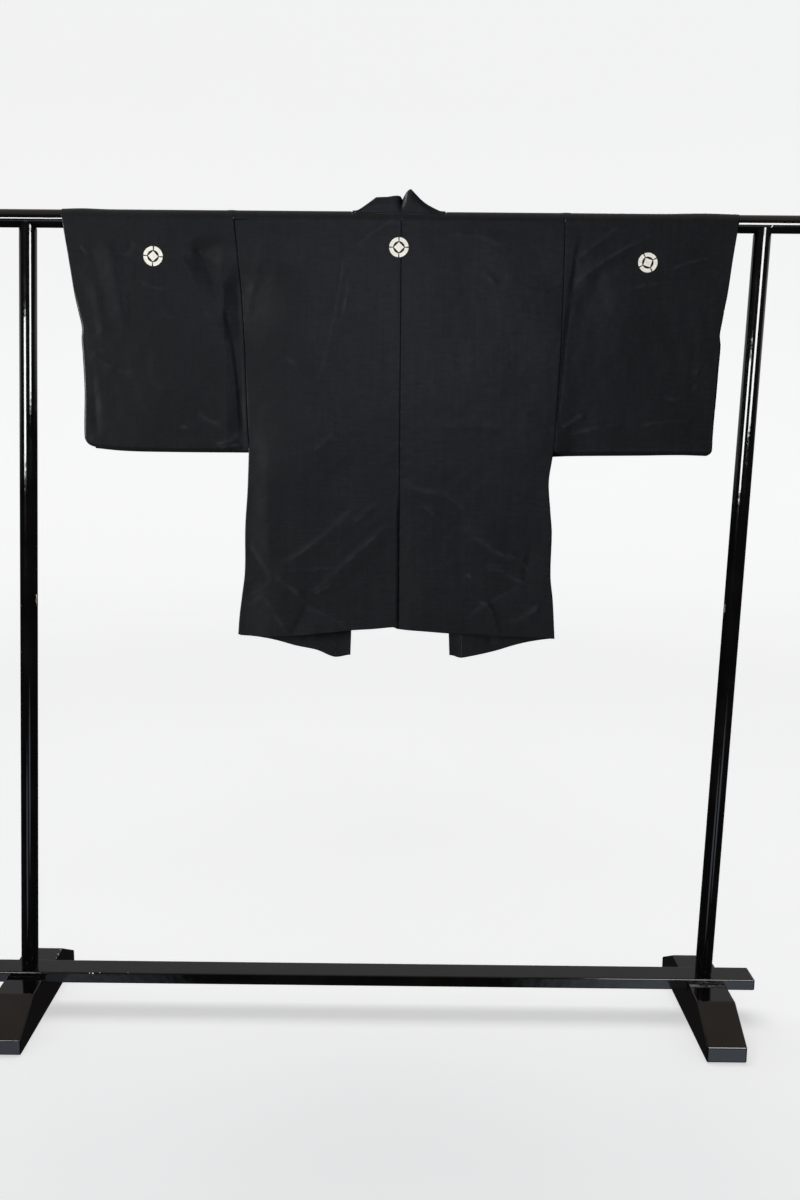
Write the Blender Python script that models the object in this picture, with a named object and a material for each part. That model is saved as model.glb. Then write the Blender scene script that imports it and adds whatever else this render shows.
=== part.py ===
"""A haori jacket that hangs by both sleeves over the rail of a wooden kimono stand.

Metres, +Z up. X runs along the rail, the jacket's back faces -Y, and the origin lies on the
floor under the middle of the rail. The wearer's left is at -X.

Every cloth piece is cut from two layers that hang from the rail, the back one at -Y and the
front one at +Y. A layer's depth comes from body_half() or sleeve_half() and from the FOLDS
table, so pieces that are sewn together share one surface, and a seam is only a narrow gap.
"""

import math

import bmesh
import bpy
import numpy as np

CM = 0.01

# Stand
RAIL_R = 1.75 * CM
RAIL_LENGTH = 174.0 * CM
RAIL_Z = 164.55 * CM
RAIL_RISE = math.tan(math.radians(0.40))  # the rail climbs a little towards +X
POST_R = 1.75 * CM
POST_SPACING = 144.5 * CM
POST_TOP_DROP = 0.5 * CM  # the horns of a post's saddle end this far below the rail's axis
POST_LEAN = math.tan(math.radians(1.51))  # both posts have racked towards +X
STRETCHER_LENGTH = 165.2 * CM
STRETCHER_WIDTH = 6.2 * CM
STRETCHER_TOP = 9.1 * CM
STRETCHER_THICK = 2.4 * CM
FOOT_LENGTH = 42.4 * CM
FOOT_WIDTH = 8.0 * CM
FOOT_TOP = 8.1 * CM
FOOT_FLAT_LENGTH = 22.4 * CM
FOOT_END_HEIGHT = 3.2 * CM
WOOD_BEVEL = 0.15 * CM

# Cloth
CLOTH = 0.16 * CM
COLLAR_CLOTH = 0.24 * CM
SEAM_GAP = 0.03 * CM
WRAP_R = RAIL_R + 0.05 * CM + CLOTH / 2  # middle of the cloth where it goes over the rail
QUARTER_ANGLES = (0, 17, 34, 51, 70, 90)  # degrees down from the rail's top
NECK_ROW = 3  # the back neck seam lies at QUARTER_ANGLES[NECK_ROW]
NECK_LEFT, NECK_RIGHT = -8.8 * CM, 9.9 * CM
CUFF_Z = {"left": 141.0 * CM, "right": 142.5 * CM}  # lowest point of the open cuff


def table(columns, *rows):
    """Rows in centimetres under named columns, as one array in metres for each name."""
    values = np.array(rows, float) * CM
    return dict(zip(columns.split(), values.T))


CENTRE_SEAM = table("z x", (83.0, 1.5), (166.0, 1.0))
ARMHOLE = {
    "left": table("z x", (119.0, -29.0), (125, -29.3), (141, -29.9), (153, -30.7), (167, -32.0)),
    "right": table("z x", (119.0, 32.0), (125, 32.5), (141, 33.0), (153, 33.1), (168, 33.0)),
}
BODY_SIDE = {
    "left": table(
        "z x",
        (76, -31.6), (82, -31.2), (86, -30.9), (90, -30.4), (95, -29.8), (104, -29.7),
        (112, -29.2), (119.0, -29.0),
    ),
    "right": table(
        "z x",
        (76, 33.9), (82, 33.5), (90, 32.9), (95, 32.3), (104, 32.3), (108, 31.9),
        (114, 31.4), (119.0, 32.0),
    ),
}
SLEEVE_EDGE = {
    "left": table(
        "z x",
        (119, -61.9), (123, -62.05), (131, -61.8), (138, -62.0), (141, -62.15), (143, -62.0),
        (146, -62.5), (150, -63.15), (157, -64.15), (162, -64.9), (167, -65.5),
    ),
    "right": table(
        "z x",
        (119, 64.4), (125, 64.4), (131, 64.65), (137, 64.85), (141.5, 65.0), (143.5, 64.75),
        (146, 65.0), (154, 65.8), (158, 66.2), (163, 66.8), (168, 67.5),
    ),
}
SLEEVE_HEM = {
    "left": table("x z", (-62, 119.8), (-60, 119.5), (-54, 119.0), (-45, 118.9), (-29, 119.0)),
    "right": table("x z", (32, 119.0), (36, 119.2), (50, 119.5), (58, 119.7), (64, 119.6)),
}
SLEEVE_CORNER_R = {"left": 2.0 * CM, "right": 1.4 * CM}
BACK_HEM = table(
    "x z",
    (-31.2, 82.1), (-24.3, 81.7), (-16, 82.4), (-8.3, 83.2), (0.4, 84.0), (1.5, 83.6), (6, 83.3),
    (11, 83.0), (33.5, 82.1),
)
FRONT_HEM = table(
    "x z",
    (-31.7, 81.3), (-27.6, 81.0), (-20.5, 79.3), (-15.5, 78.3), (-11.6, 76.8), (-8.4, 77.2),
    (12.4, 77.5), (14.9, 76.9), (21.2, 78.4), (27.8, 80.3), (34.1, 81.3),
)
# Where the collar is sewn to each front, and the collar's free inner edge
FRONT_SEAM = {
    "left": table("z x", (76, -11.6), (120, -10.4), (150, -9.2), (164.6, -8.8)),
    "right": table("z x", (76, 14.9), (120, 12.9), (150, 10.8), (164.8, 9.9)),
}
FRONT_EDGE = {
    "left": table("z x", (76, -8.4), (120, -7.2), (150, -6.2), (167, -5.6)),
    "right": table("z x", (76, 12.4), (120, 10.1), (150, 7.9), (167, 6.8)),
}

# Half the distance between the layers, at the sides, inside the body and inside a sleeve
SIDE_HALF = table(
    "z y",
    (76, 2.9), (84, 2.7), (92, 2.3), (102, 1.6), (111, 0.95), (119, 0.5), (126, 1.2), (136, 1.6),
    (150, 1.8), (163, 1.86),
)
BODY_HALF = table("z y", (76, 2.5), (95, 2.3), (115, 2.1), (140, 1.9), (163, 1.86))
SLEEVE_HALF = table(
    "drop y", (0, 0), (0.5, 0.28), (1.5, 0.6), (3.5, 1.0), (8, 1.4), (17, 1.65), (32, 1.8), (45, 1.86)
)
SIDE_REACH = 7.0 * CM  # how far into the body the sides draw the layers together
EDGE_REACH = 4.0 * CM  # how far into a sleeve its sewn outer edge does
ARMHOLE_REACH = 3.0 * CM  # how far into a sleeve it keeps the body's depth
ARMHOLE_RISE = 6.0 * CM  # how far above its hem it takes that depth up
CUFF_RISE = 3.0 * CM  # how far above the sewn outer edge the cuff stands fully open
LEAST_HALF = 0.24 * CM  # no fold brings the layers closer to their middle than this
FOLD_FADE = (1.0 * CM, 6.0 * CM)  # folds begin this far below the rail, and are full here
FOLD_END = 0.35  # a fold's share of its height at the ends of its run
GUSSET_DROP = 0.3 * CM  # from the armhole's lowest point to the gusset's top
GUSSET_DIP = 0.9 * CM  # how far the gusset folds inwards at the hem
GUSSET_ROWS, GUSSET_FACES = 14, 4

# The largest folds: straight runs in a layer, rising out of it (+) or sinking into it (-)
FOLDS = table(
    "layer x0 z0 x1 z1 width rise",
    # left sleeve, back: a wide trough that falls to the armhole, its ridge, and a tuck beside the seam
    (-100, -45.5, 163.0, -33.0, 144.0, 2.6, -0.75),
    (-100, -39.2, 160.0, -32.5, 150.5, 1.6, 0.45),
    (-100, -33.5, 143.0, -31.2, 121.0, 1.5, -0.60),
    (-100, -55.7, 161.6, -53.3, 143.0, 2.2, -0.40),
    (-100, -59.4, 137.8, -53.1, 134.4, 1.5, 0.30),
    # right sleeve, back: a deep line beside the seam, with two ridges that run up from it
    (-100, 35.3, 163.5, 34.0, 146.0, 1.3, -0.80),
    (-100, 34.0, 146.0, 33.4, 124.5, 1.2, -0.55),
    (-100, 35.4, 155.0, 50.0, 163.5, 1.8, 0.45),
    (-100, 38.0, 156.0, 38.2, 147.5, 2.0, -0.40),
    # back, left half
    (-100, -26.0, 157.0, -29.3, 145.0, 1.5, 0.40),
    (-100, -7.0, 108.5, -22.6, 96.9, 1.8, 0.50),
    (-100, -1.5, 104.5, -17.9, 90.0, 2.0, 0.45),
    (-100, -24.0, 94.9, -20.5, 82.5, 1.8, -0.45),
    # back, right half, and the trough along the lower centre seam
    (-100, 8.9, 112.5, 26.5, 97.5, 2.0, 0.50),
    (-100, 17.0, 95.0, 21.5, 84.0, 2.2, -0.45),
    (-100, 25.0, 85.5, 30.5, 89.0, 1.5, 0.40),
    (-100, 1.2, 108.0, 1.5, 83.0, 1.4, -0.70),
    # fronts
    (100, -45.0, 162.0, -33.5, 145.0, 2.6, -0.60),
    (100, -53.5, 160.0, -51.0, 138.0, 2.4, -0.35),
    (100, 35.5, 162.5, 34.0, 128.0, 1.6, -0.65),
    (100, 36.0, 152.0, 50.0, 161.0, 2.0, 0.40),
    (100, -14.0, 150.0, -19.0, 84.0, 3.2, 0.55),
    (100, -25.0, 112.0, -22.0, 80.0, 2.8, -0.50),
    (100, 16.5, 148.0, 20.5, 84.0, 3.2, 0.55),
    (100, 28.0, 110.0, 25.0, 81.0, 2.8, -0.50),
)
BACK, FRONT = -1, 1

# The collar's stations round the neck: angle over the rail (degrees from its top, back is
# negative), place of the sewn edge, and the free edge that stands up or falls inwards
NECK = (
    # angle, sewn x, free x, free y, free z above the rail's axis
    (90, -8.77, -5.62, 2.45, 0.4),
    (65, -8.72, -5.60, 2.10, 1.5),
    (40, -8.66, -5.35, 1.60, 1.95),
    (15, -8.62, -4.95, 0.95, 2.65),
    (-10, -8.58, -4.45, 0.25, 3.25),
    (-30, -8.45, -4.05, -0.45, 3.85),
    (-46, -7.90, -4.00, -1.10, 4.28),
    (-46, -6.20, -3.50, -1.40, 4.34),
    (-46, -4.50, -2.65, -1.50, 4.38),
    (-46, -2.90, -1.70, -1.50, 4.42),
    (-46, -1.50, -0.60, -1.50, 4.60),
    (-46, -0.40, 0.20, -1.45, 4.66),
    (-46, 0.30, 0.75, -1.25, 4.55),
    (-46, 0.90, 1.20, -0.85, 4.05),
    (-46, 1.50, 1.60, -1.20, 4.70),
    (-46, 2.10, 2.15, -1.55, 5.50),
    (-46, 2.90, 2.75, -1.70, 5.85),
    (-46, 3.90, 3.20, -1.60, 5.50),
    (-46, 5.20, 3.75, -1.45, 4.95),
    (-46, 6.60, 4.40, -1.20, 4.30),
    (-46, 8.10, 5.10, -0.80, 3.75),
    (-46, 9.20, 5.75, -0.30, 3.30),
    (-30, 9.62, 6.20, 0.20, 2.98),
    (-10, 9.70, 6.60, 0.80, 2.70),
    (15, 9.74, 6.85, 1.35, 2.15),
    (40, 9.78, 6.93, 1.80, 1.60),
    (65, 9.82, 6.95, 2.20, 0.90),
    (90, 9.86, 6.95, 2.45, 0.30),
)
COLLAR_SEWN_R = WRAP_R + 0.08 * CM
COLLAR_FACES = 4
COLLAR_HOLLOW = 0.28  # how far the band dips, for its height, where it turns over the rail

COLOURS = {
    "silk": ((0.012, 0.013, 0.014), 0.55),
    "lacquer": ((0.006, 0.006, 0.006), 0.08),
}


def smooth(t):
    t = min(max(t, 0.0), 1.0)
    return t * t * (3.0 - 2.0 * t)


def read(rows, key, value, at):
    """The table's value here, on a smooth curve through its rows."""
    xs, ys = rows[key], rows[value]
    at = min(max(at, xs[0]), xs[-1])
    i = min(int(np.searchsorted(xs, at, "right")), len(xs) - 1) - 1
    before, after = max(i - 1, 0), min(i + 2, len(xs) - 1)
    span = xs[i + 1] - xs[i]
    start = (ys[i + 1] - ys[before]) / (xs[i + 1] - xs[before]) * span
    end = (ys[after] - ys[i]) / (xs[after] - xs[i]) * span
    t = (at - xs[i]) / span
    rise = ys[i + 1] - ys[i]
    bend = t * (1 - t) * (start * (1 - t) - end * t)
    return float(ys[i] + rise * t * t * (3 - 2 * t) + bend)


def rail_z(x):
    return RAIL_Z + x * RAIL_RISE


def fold_depth(layer, x, z):
    """How far the layer's folds move it outwards here."""
    total = 0.0
    start, full = FOLD_FADE
    fade = smooth((rail_z(x) - z - start) / (full - start))
    for kind, x0, z0, x1, z1, width, rise in zip(*FOLDS.values()):
        if kind * layer < 0 or not fade:
            continue
        run_x, run_z = x1 - x0, z1 - z0
        along = ((x - x0) * run_x + (z - z0) * run_z) / (run_x**2 + run_z**2)
        near = min(max(along, 0.0), 1.0)
        away = math.hypot(x - x0 - near * run_x, z - z0 - near * run_z)
        ends = FOLD_END + (1 - FOLD_END) * smooth(4 * near) * smooth(4 * (1 - near))
        total += rise * ends * math.exp(-((away / width) ** 2))
    return total * fade


def body_side(hand, z):
    """The body's outer edge: the armhole seam above, the side below it."""
    rows = ARMHOLE[hand] if z > ARMHOLE[hand]["z"][0] else BODY_SIDE[hand]
    return read(rows, "z", "x", z)


def sleeve_edge(hand, z):
    """The sleeve's outer edge, rounded off at its lower corner."""
    x = read(SLEEVE_EDGE[hand], "z", "x", z)
    radius = SLEEVE_CORNER_R[hand]
    below = radius - (z - read(SLEEVE_HEM[hand], "x", "z", x))
    if below > 0:
        cut = radius - math.sqrt(max(radius**2 - min(below, radius) ** 2, 0.0))
        x -= math.copysign(cut, x)
    return x


def body_half(hand, x, z):
    inwards = abs(x - body_side(hand, z))
    near = math.exp(-((inwards / SIDE_REACH) ** 2))
    return near * read(SIDE_HALF, "z", "y", z) + (1 - near) * read(BODY_HALF, "z", "y", z)


def sleeve_half(hand, x, z):
    """Half the gap inside a sleeve, which closes along its hem and its sewn outer edge."""
    drop = z - read(SLEEVE_HEM[hand], "x", "z", x)
    half = read(SLEEVE_HALF, "drop", "y", drop)
    inwards = abs(x - sleeve_edge(hand, z))
    closed = 1 - smooth((z - CUFF_Z[hand]) / CUFF_RISE)
    half *= 1 - closed * (1 - math.sqrt(smooth(inwards / EDGE_REACH)))
    near = math.exp(-(((x - body_side(hand, z)) / ARMHOLE_REACH) ** 2)) * smooth(drop / ARMHOLE_RISE)
    return near * read(SIDE_HALF, "z", "y", z) + (1 - near) * half


def layer_point(layer, x, z, half):
    out = half + fold_depth(layer, x, z)
    if half < LEAST_HALF:
        out = half
    return (x, layer * max(out, min(half, LEAST_HALF)), z)


def over_rail(layer, x, degrees, radius=WRAP_R):
    angle = math.radians(degrees)
    return (x, layer * radius * math.sin(angle), rail_z(x) + radius * math.cos(angle))


def material(name):
    made = bpy.data.materials.get(name)
    if made is None:
        colour, roughness = COLOURS[name]
        made = bpy.data.materials.new(name)
        made.use_nodes = True
        shader = made.node_tree.nodes["Principled BSDF"]
        shader.inputs["Base Color"].default_value = (*colour, 1)
        shader.inputs["Roughness"].default_value = roughness
    return made


def add_object(name, bm, slot):
    mesh = bpy.data.meshes.new(name)
    bm.to_mesh(mesh)
    bm.free()
    mesh.materials.append(material(slot))
    piece = bpy.data.objects.new(name, mesh)
    bpy.context.scene.collection.objects.link(piece)
    return piece


def thicken(bm, thickness, square_to):
    """Gives a sheet its wall, half on each side, and closes it round the open edges.

    At an open edge the wall stands square to the given axis (0 is X, 1 is Y), so that the
    edges of two pieces sewn together stay parallel.
    """
    bm.normal_update()
    walled = bmesh.new()
    outer, inner = {}, {}
    for vertex in bm.verts:
        normal = vertex.normal.copy()
        if vertex.is_boundary:
            normal[square_to] = 0
            normal.normalize()
        outer[vertex] = walled.verts.new(vertex.co + normal * thickness / 2)
        inner[vertex] = walled.verts.new(vertex.co - normal * thickness / 2)
    for face in bm.faces:
        walled.faces.new([outer[v] for v in face.verts])
        walled.faces.new([inner[v] for v in reversed(face.verts)])
    for edge in bm.edges:
        if edge.is_boundary:
            loop = edge.link_loops[0]
            a, b = loop.vert, loop.link_loop_next.vert
            walled.faces.new((outer[b], outer[a], inner[a], inner[b]))
    bm.free()
    return walled


def cloth(name, rows, thickness=CLOTH, welds=(), square_to=0):
    """A cloth piece from rows of points, with None where a row has no cloth.

    welds pairs up grid places that are sewn together, so that both use one point.
    """
    bm = bmesh.new()
    same = dict(welds)
    points = {}
    for i, row in enumerate(rows):
        for j, point in enumerate(row):
            if point is not None and (i, j) not in same:
                points[i, j] = bm.verts.new(point)
    for place, twin in same.items():
        points[place] = points[twin]
    for i in range(len(rows) - 1):
        for j in range(len(rows[i]) - 1):
            places = ((i, j), (i, j + 1), (i + 1, j + 1), (i + 1, j))
            if all(place in points for place in places):
                corners = list(dict.fromkeys(points[place] for place in places))
                if len(corners) > 2:
                    bm.faces.new(corners)
    bmesh.ops.recalc_face_normals(bm, faces=bm.faces)
    walled = thicken(bm, thickness, square_to)
    bmesh.ops.recalc_face_normals(walled, faces=walled.faces)
    piece = add_object(name, walled, "silk")
    piece.data.shade_smooth()
    piece.data.set_sharp_from_angle(angle=math.radians(50))
    return piece


def spread(*stops):
    """Fractions from 0 to 1: each stop is (fraction, number of even steps that reach it)."""
    found, last = [0.0], 0.0
    for stop, steps in stops:
        found += [last + (stop - last) * (i + 1) / steps for i in range(steps)]
        last = stop
    return found


# Rows of a layer: from the rail (0) to the sleeve's hem (1), and on to the jacket's hem (2)
SLEEVE_DROPS = spread((0.09, 1), (0.89, 9), (0.97, 3), (1.0, 2))[1:]
BODY_DROPS = SLEEVE_DROPS + [1 + drop for drop in spread((0.9, 7), (1.0, 2))[1:]]


def body_z(hand, hem, x, drop):
    """A body row's height at x, on its way down to this hem."""
    split = float(ARMHOLE[hand]["z"][0])
    if drop <= 1:
        return rail_z(x) + (split - rail_z(x)) * drop
    return split + (read(hem, "x", "z", x) - split) * (drop - 1)


def body_panel(hand):
    """One body panel: up the back, over the rail and down the front."""
    turn = 1 if hand == "left" else -1
    seam = turn * SEAM_GAP / 2
    neck_x = NECK_LEFT if hand == "left" else NECK_RIGHT
    to_neck = spread((0.10, 2), (0.30, 2), (1.0, 5))
    to_centre = spread((0.7, 3), (1.0, 2))[1:]

    def across(side_x, neck, centre):
        outer = [side_x + (neck - side_x) * t for t in to_neck]
        inner = [None if centre is None else neck + (centre - neck) * t for t in to_centre]
        return outer + inner

    def hanging_row(layer, drop):
        hem = BACK_HEM if layer == BACK else FRONT_HEM
        row = []
        for place in range(len(to_neck) + len(to_centre)):
            z = RAIL_Z
            for _ in range(3):  # the row's height and its ends depend on each other
                side = body_side(hand, z) + seam
                if layer == BACK:
                    centre = read(CENTRE_SEAM, "z", "x", z) - seam
                    xs = across(side, neck_x, centre)
                else:
                    inner = read(FRONT_SEAM[hand], "z", "x", z) - seam
                    xs = across(side, inner, None)
                x = xs[place]
                if x is None:
                    break
                z = body_z(hand, hem, x, drop)
            row.append(None if x is None else layer_point(layer, x, z, body_half(hand, x, z)))
        return row

    def arc_row(layer, step):
        degrees = QUARTER_ANGLES[step]
        z = RAIL_Z + WRAP_R * math.cos(math.radians(degrees))
        centre = None
        if layer == BACK and step >= NECK_ROW:
            centre = read(CENTRE_SEAM, "z", "x", z) - seam
        xs = across(body_side(hand, z) + seam, neck_x, centre)
        return [None if x is None else over_rail(layer, x, degrees) for x in xs]

    arc = range(len(QUARTER_ANGLES))
    rows = [hanging_row(BACK, drop) for drop in reversed(BODY_DROPS)]
    rows += [arc_row(BACK, step) for step in reversed(arc)]
    rows += [arc_row(FRONT, step) for step in arc[1:]]
    rows += [hanging_row(FRONT, drop) for drop in BODY_DROPS]
    return cloth(f"body_{hand}", rows)


def sleeve(hand):
    """A sleeve: closed along its hem and its lower outer edge, open at cuff and armhole."""
    seam = (-1 if hand == "left" else 1) * SEAM_GAP / 2
    shares = spread((0.16, 3), (0.92, 8), (1.0, 3))

    def arc_row(layer, step):
        degrees = QUARTER_ANGLES[step]
        z = RAIL_Z + WRAP_R * math.cos(math.radians(degrees))
        inner = body_side(hand, z) + seam
        outer = sleeve_edge(hand, z)
        return [over_rail(layer, inner + (outer - inner) * t, degrees) for t in shares]

    def hanging_row(layer, drop):
        row = []
        for share in shares:
            z = RAIL_Z
            for _ in range(4):
                inner = body_side(hand, z) + seam
                x = inner + (sleeve_edge(hand, z) - inner) * share
                z = rail_z(x) + (read(SLEEVE_HEM[hand], "x", "z", x) - rail_z(x)) * drop
            shut = drop == 1 or (share == 1 and z < CUFF_Z[hand])
            half = 0.0 if shut else sleeve_half(hand, x, z)
            row.append(layer_point(layer, x, z, half))
        return row

    arc = range(len(QUARTER_ANGLES))
    rows = [hanging_row(BACK, drop) for drop in reversed(SLEEVE_DROPS)]
    rows += [arc_row(BACK, step) for step in reversed(arc)]
    rows += [arc_row(FRONT, step) for step in arc[1:]]
    rows += [hanging_row(FRONT, drop) for drop in SLEEVE_DROPS]
    last, outer = len(rows) - 1, len(shares) - 1
    welds = [((last, j), (0, j)) for j in range(len(shares))]
    welds += [
        ((last - i, outer), (i, outer)) for i in range(1, len(SLEEVE_DROPS)) if rows[i][outer][1] == 0
    ]
    return cloth(f"sleeve_{hand}", rows, welds=welds)


def gusset(hand):
    """The side panel between back and front, which folds inwards a little as it widens."""
    inwards = 1 if hand == "left" else -1
    top = ARMHOLE[hand]["z"][0] - GUSSET_DROP
    side_x = BODY_SIDE[hand]["x"][1]
    hems = {BACK: read(BACK_HEM, "x", "z", side_x), FRONT: read(FRONT_HEM, "x", "z", side_x)}
    mean_hem = (hems[BACK] + hems[FRONT]) / 2
    rows = []
    for i in range(GUSSET_ROWS + 1):
        down = i / GUSSET_ROWS
        row = []
        for j in range(GUSSET_FACES + 1):
            across = 2 * j / GUSSET_FACES - 1
            layer = BACK if across < 0 else FRONT
            low = mean_hem + (hems[layer] - mean_hem) * abs(across)
            z = top + (low - top) * down
            x = body_side(hand, z) + inwards * CLOTH / 2
            half = body_half(hand, x, z) - CLOTH / 2 - 1.5 * SEAM_GAP
            edge = layer_point(layer, x, z, half)[1]
            dip = GUSSET_DIP * smooth(down) * (1 - across**2)
            row.append((x + inwards * dip, edge * abs(across), z))
        rows.append(row)
    return cloth(f"gusset_{hand}", rows, square_to=1)


def collar():
    """The collar band: up one front edge, round the neck and down the other."""
    shares = [j / COLLAR_FACES for j in range(COLLAR_FACES + 1)]

    def neck_row(station):
        degrees, sewn_x, free_x, free_y, free_z = station
        foot = over_rail(FRONT, sewn_x * CM, degrees, COLLAR_SEWN_R)
        tip = (free_x * CM, free_y * CM, rail_z(free_x * CM) + free_z * CM)
        turned = math.cos(math.radians(2 * min(abs(degrees), 45)))
        sag = COLLAR_HOLLOW * max(tip[2] - foot[2], 0) * turned
        row = [[a + (b - a) * share for a, b in zip(foot, tip)] for share in shares]
        for share, point in zip(shares, row):
            point[2] -= sag * math.sin(math.pi * share)
        return row

    def falling_row(hand, station, drop):
        """A row beside the front's edge."""
        *_, tip_y, tip_z = station
        seam = (1 if hand == "left" else -1) * SEAM_GAP / 2
        unsettled = 1 - smooth(4 * drop)
        row = []
        for share in shares:
            z = RAIL_Z
            for _ in range(3):
                sewn = read(FRONT_SEAM[hand], "z", "x", z) + seam
                x = sewn + (read(FRONT_EDGE[hand], "z", "x", z) - sewn) * share
                z = body_z(hand, FRONT_HEM, x, drop)
            x, y, z = layer_point(FRONT, x, z, body_half(hand, x, z))
            y += (tip_y * CM - WRAP_R) * share * unsettled
            row.append((x, y, z + tip_z * CM * share * unsettled))
        return row

    rows = [falling_row("left", NECK[0], drop) for drop in reversed(BODY_DROPS)]
    rows += [neck_row(station) for station in NECK]
    rows += [falling_row("right", NECK[-1], drop) for drop in BODY_DROPS]
    return cloth("collar", rows, thickness=COLLAR_CLOTH)


def bevelled(piece, width=WOOD_BEVEL):
    bevel = piece.modifiers.new("eased_edges", "BEVEL")
    bevel.width = width
    bevel.segments = 2
    bevel.limit_method = "ANGLE"
    bevel.angle_limit = math.radians(40)


def round_bar(name, length, radius, sides):
    """An upright round bar that stands on the origin."""
    bm = bmesh.new()
    bmesh.ops.create_cone(
        bm, cap_ends=True, segments=sides, radius1=radius, radius2=radius, depth=length
    )
    bmesh.ops.translate(bm, verts=bm.verts, vec=(0, 0, length / 2))
    piece = add_object(name, bm, "lacquer")
    piece.data.shade_smooth()
    piece.data.set_sharp_from_angle(angle=math.radians(40))
    return piece


def laid_bar(name, radius):
    """A bar of the rail's length that lies where the rail lies."""
    piece = round_bar(name, RAIL_LENGTH, radius, sides=48)
    piece.location = (-RAIL_LENGTH / 2, 0, rail_z(-RAIL_LENGTH / 2))
    piece.rotation_euler = (0, math.pi / 2 - math.atan(RAIL_RISE), 0)
    return piece


def prism(name, outline, x, width):
    """A board whose outline in Y and Z is swept along X, centred at x."""
    bm = bmesh.new()
    side = bm.faces.new([bm.verts.new((x - width / 2, y, z)) for y, z in outline])
    swept = bmesh.ops.extrude_face_region(bm, geom=[side])
    moved = [item for item in swept["geom"] if isinstance(item, bmesh.types.BMVert)]
    bmesh.ops.translate(bm, verts=moved, vec=(width, 0, 0))
    bmesh.ops.recalc_face_normals(bm, faces=bm.faces)
    piece = add_object(name, bm, "lacquer")
    bevelled(piece)
    return piece


def post_foot_x(hand):
    """Where a post meets the stretcher, from its lean and its place under the rail."""
    top_x = (-1 if hand == "left" else 1) * POST_SPACING / 2
    return top_x - (RAIL_Z - STRETCHER_TOP) * POST_LEAN


def post(hand, saddle):
    """A post, sheared by its lean, whose top is hollowed out to take the rail."""
    foot_z = STRETCHER_TOP + SEAM_GAP
    top_x = (-1 if hand == "left" else 1) * POST_SPACING / 2
    length = rail_z(top_x) - POST_TOP_DROP - foot_z
    piece = round_bar(f"post_{hand}", length, POST_R, sides=32)
    for vertex in piece.data.vertices:
        vertex.co.x += vertex.co.z * POST_LEAN
    piece.location = (post_foot_x(hand), 0, foot_z)
    cut = piece.modifiers.new("saddle", "BOOLEAN")
    cut.operation = "DIFFERENCE"
    cut.object = saddle
    return piece


def foot(hand):
    """A foot with sloped ends and a lap across its top that takes the stretcher."""
    lap = STRETCHER_WIDTH / 2 + SEAM_GAP
    lap_z = STRETCHER_TOP - STRETCHER_THICK - SEAM_GAP
    half = [
        (lap, lap_z),
        (lap, FOOT_TOP),
        (FOOT_FLAT_LENGTH / 2, FOOT_TOP),
        (FOOT_LENGTH / 2, FOOT_END_HEIGHT),
        (FOOT_LENGTH / 2, 0),
    ]
    outline = half + [(-y, z) for y, z in reversed(half)]
    return prism(f"foot_{hand}", outline, post_foot_x(hand), FOOT_WIDTH)


def stretcher():
    y = STRETCHER_WIDTH / 2
    low = STRETCHER_TOP - STRETCHER_THICK
    outline = [(-y, low), (-y, STRETCHER_TOP), (y, STRETCHER_TOP), (y, low)]
    middle = (post_foot_x("left") + post_foot_x("right")) / 2
    return prism("stretcher", outline, middle, STRETCHER_LENGTH)


def stand():
    rail = laid_bar("rail", RAIL_R)
    bevelled(rail, 2 * WOOD_BEVEL)
    saddle = laid_bar("saddle_cutter", RAIL_R + SEAM_GAP)
    saddle.hide_render = True
    saddle.display_type = "WIRE"
    stretcher()
    for hand in ("left", "right"):
        post(hand, saddle)
        foot(hand)


def jacket():
    for hand in ("left", "right"):
        body_panel(hand)
        sleeve(hand)
        gusset(hand)
    collar()


def main():
    for old in list(bpy.data.objects):
        bpy.data.objects.remove(old, do_unlink=True)
    stand()
    jacket()


main()
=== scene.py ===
"""The looks of a haori jacket on a kimono stand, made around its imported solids.

Metres, +Z up. X runs along the rail, the jacket's back faces -Y and the wearer's left is at -X.
Each cloth piece is a thin shell on its solid's form, with the folds, creases and puckers that
the solid leaves out. The stand's pieces are finer copies of their solids.
"""

import math

import bmesh
import bpy
import numpy as np
from mathutils import Matrix, Quaternion, Vector


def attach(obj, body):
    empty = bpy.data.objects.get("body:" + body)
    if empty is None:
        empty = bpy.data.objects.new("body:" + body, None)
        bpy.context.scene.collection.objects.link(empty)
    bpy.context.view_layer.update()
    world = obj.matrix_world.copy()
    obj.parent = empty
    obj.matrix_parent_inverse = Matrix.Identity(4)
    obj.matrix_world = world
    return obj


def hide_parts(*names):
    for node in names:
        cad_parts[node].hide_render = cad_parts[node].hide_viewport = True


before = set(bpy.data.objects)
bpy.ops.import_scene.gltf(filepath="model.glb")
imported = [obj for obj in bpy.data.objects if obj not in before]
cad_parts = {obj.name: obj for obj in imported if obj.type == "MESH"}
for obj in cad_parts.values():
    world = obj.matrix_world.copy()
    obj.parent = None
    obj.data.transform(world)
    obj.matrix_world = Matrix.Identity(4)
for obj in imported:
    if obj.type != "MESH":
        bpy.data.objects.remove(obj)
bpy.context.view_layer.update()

CM = 0.01
BACK, FRONT = -1, 1
HANDS = ("left", "right")
TURN = {"left": 1, "right": -1}  # from each side towards the middle, along X

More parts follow.
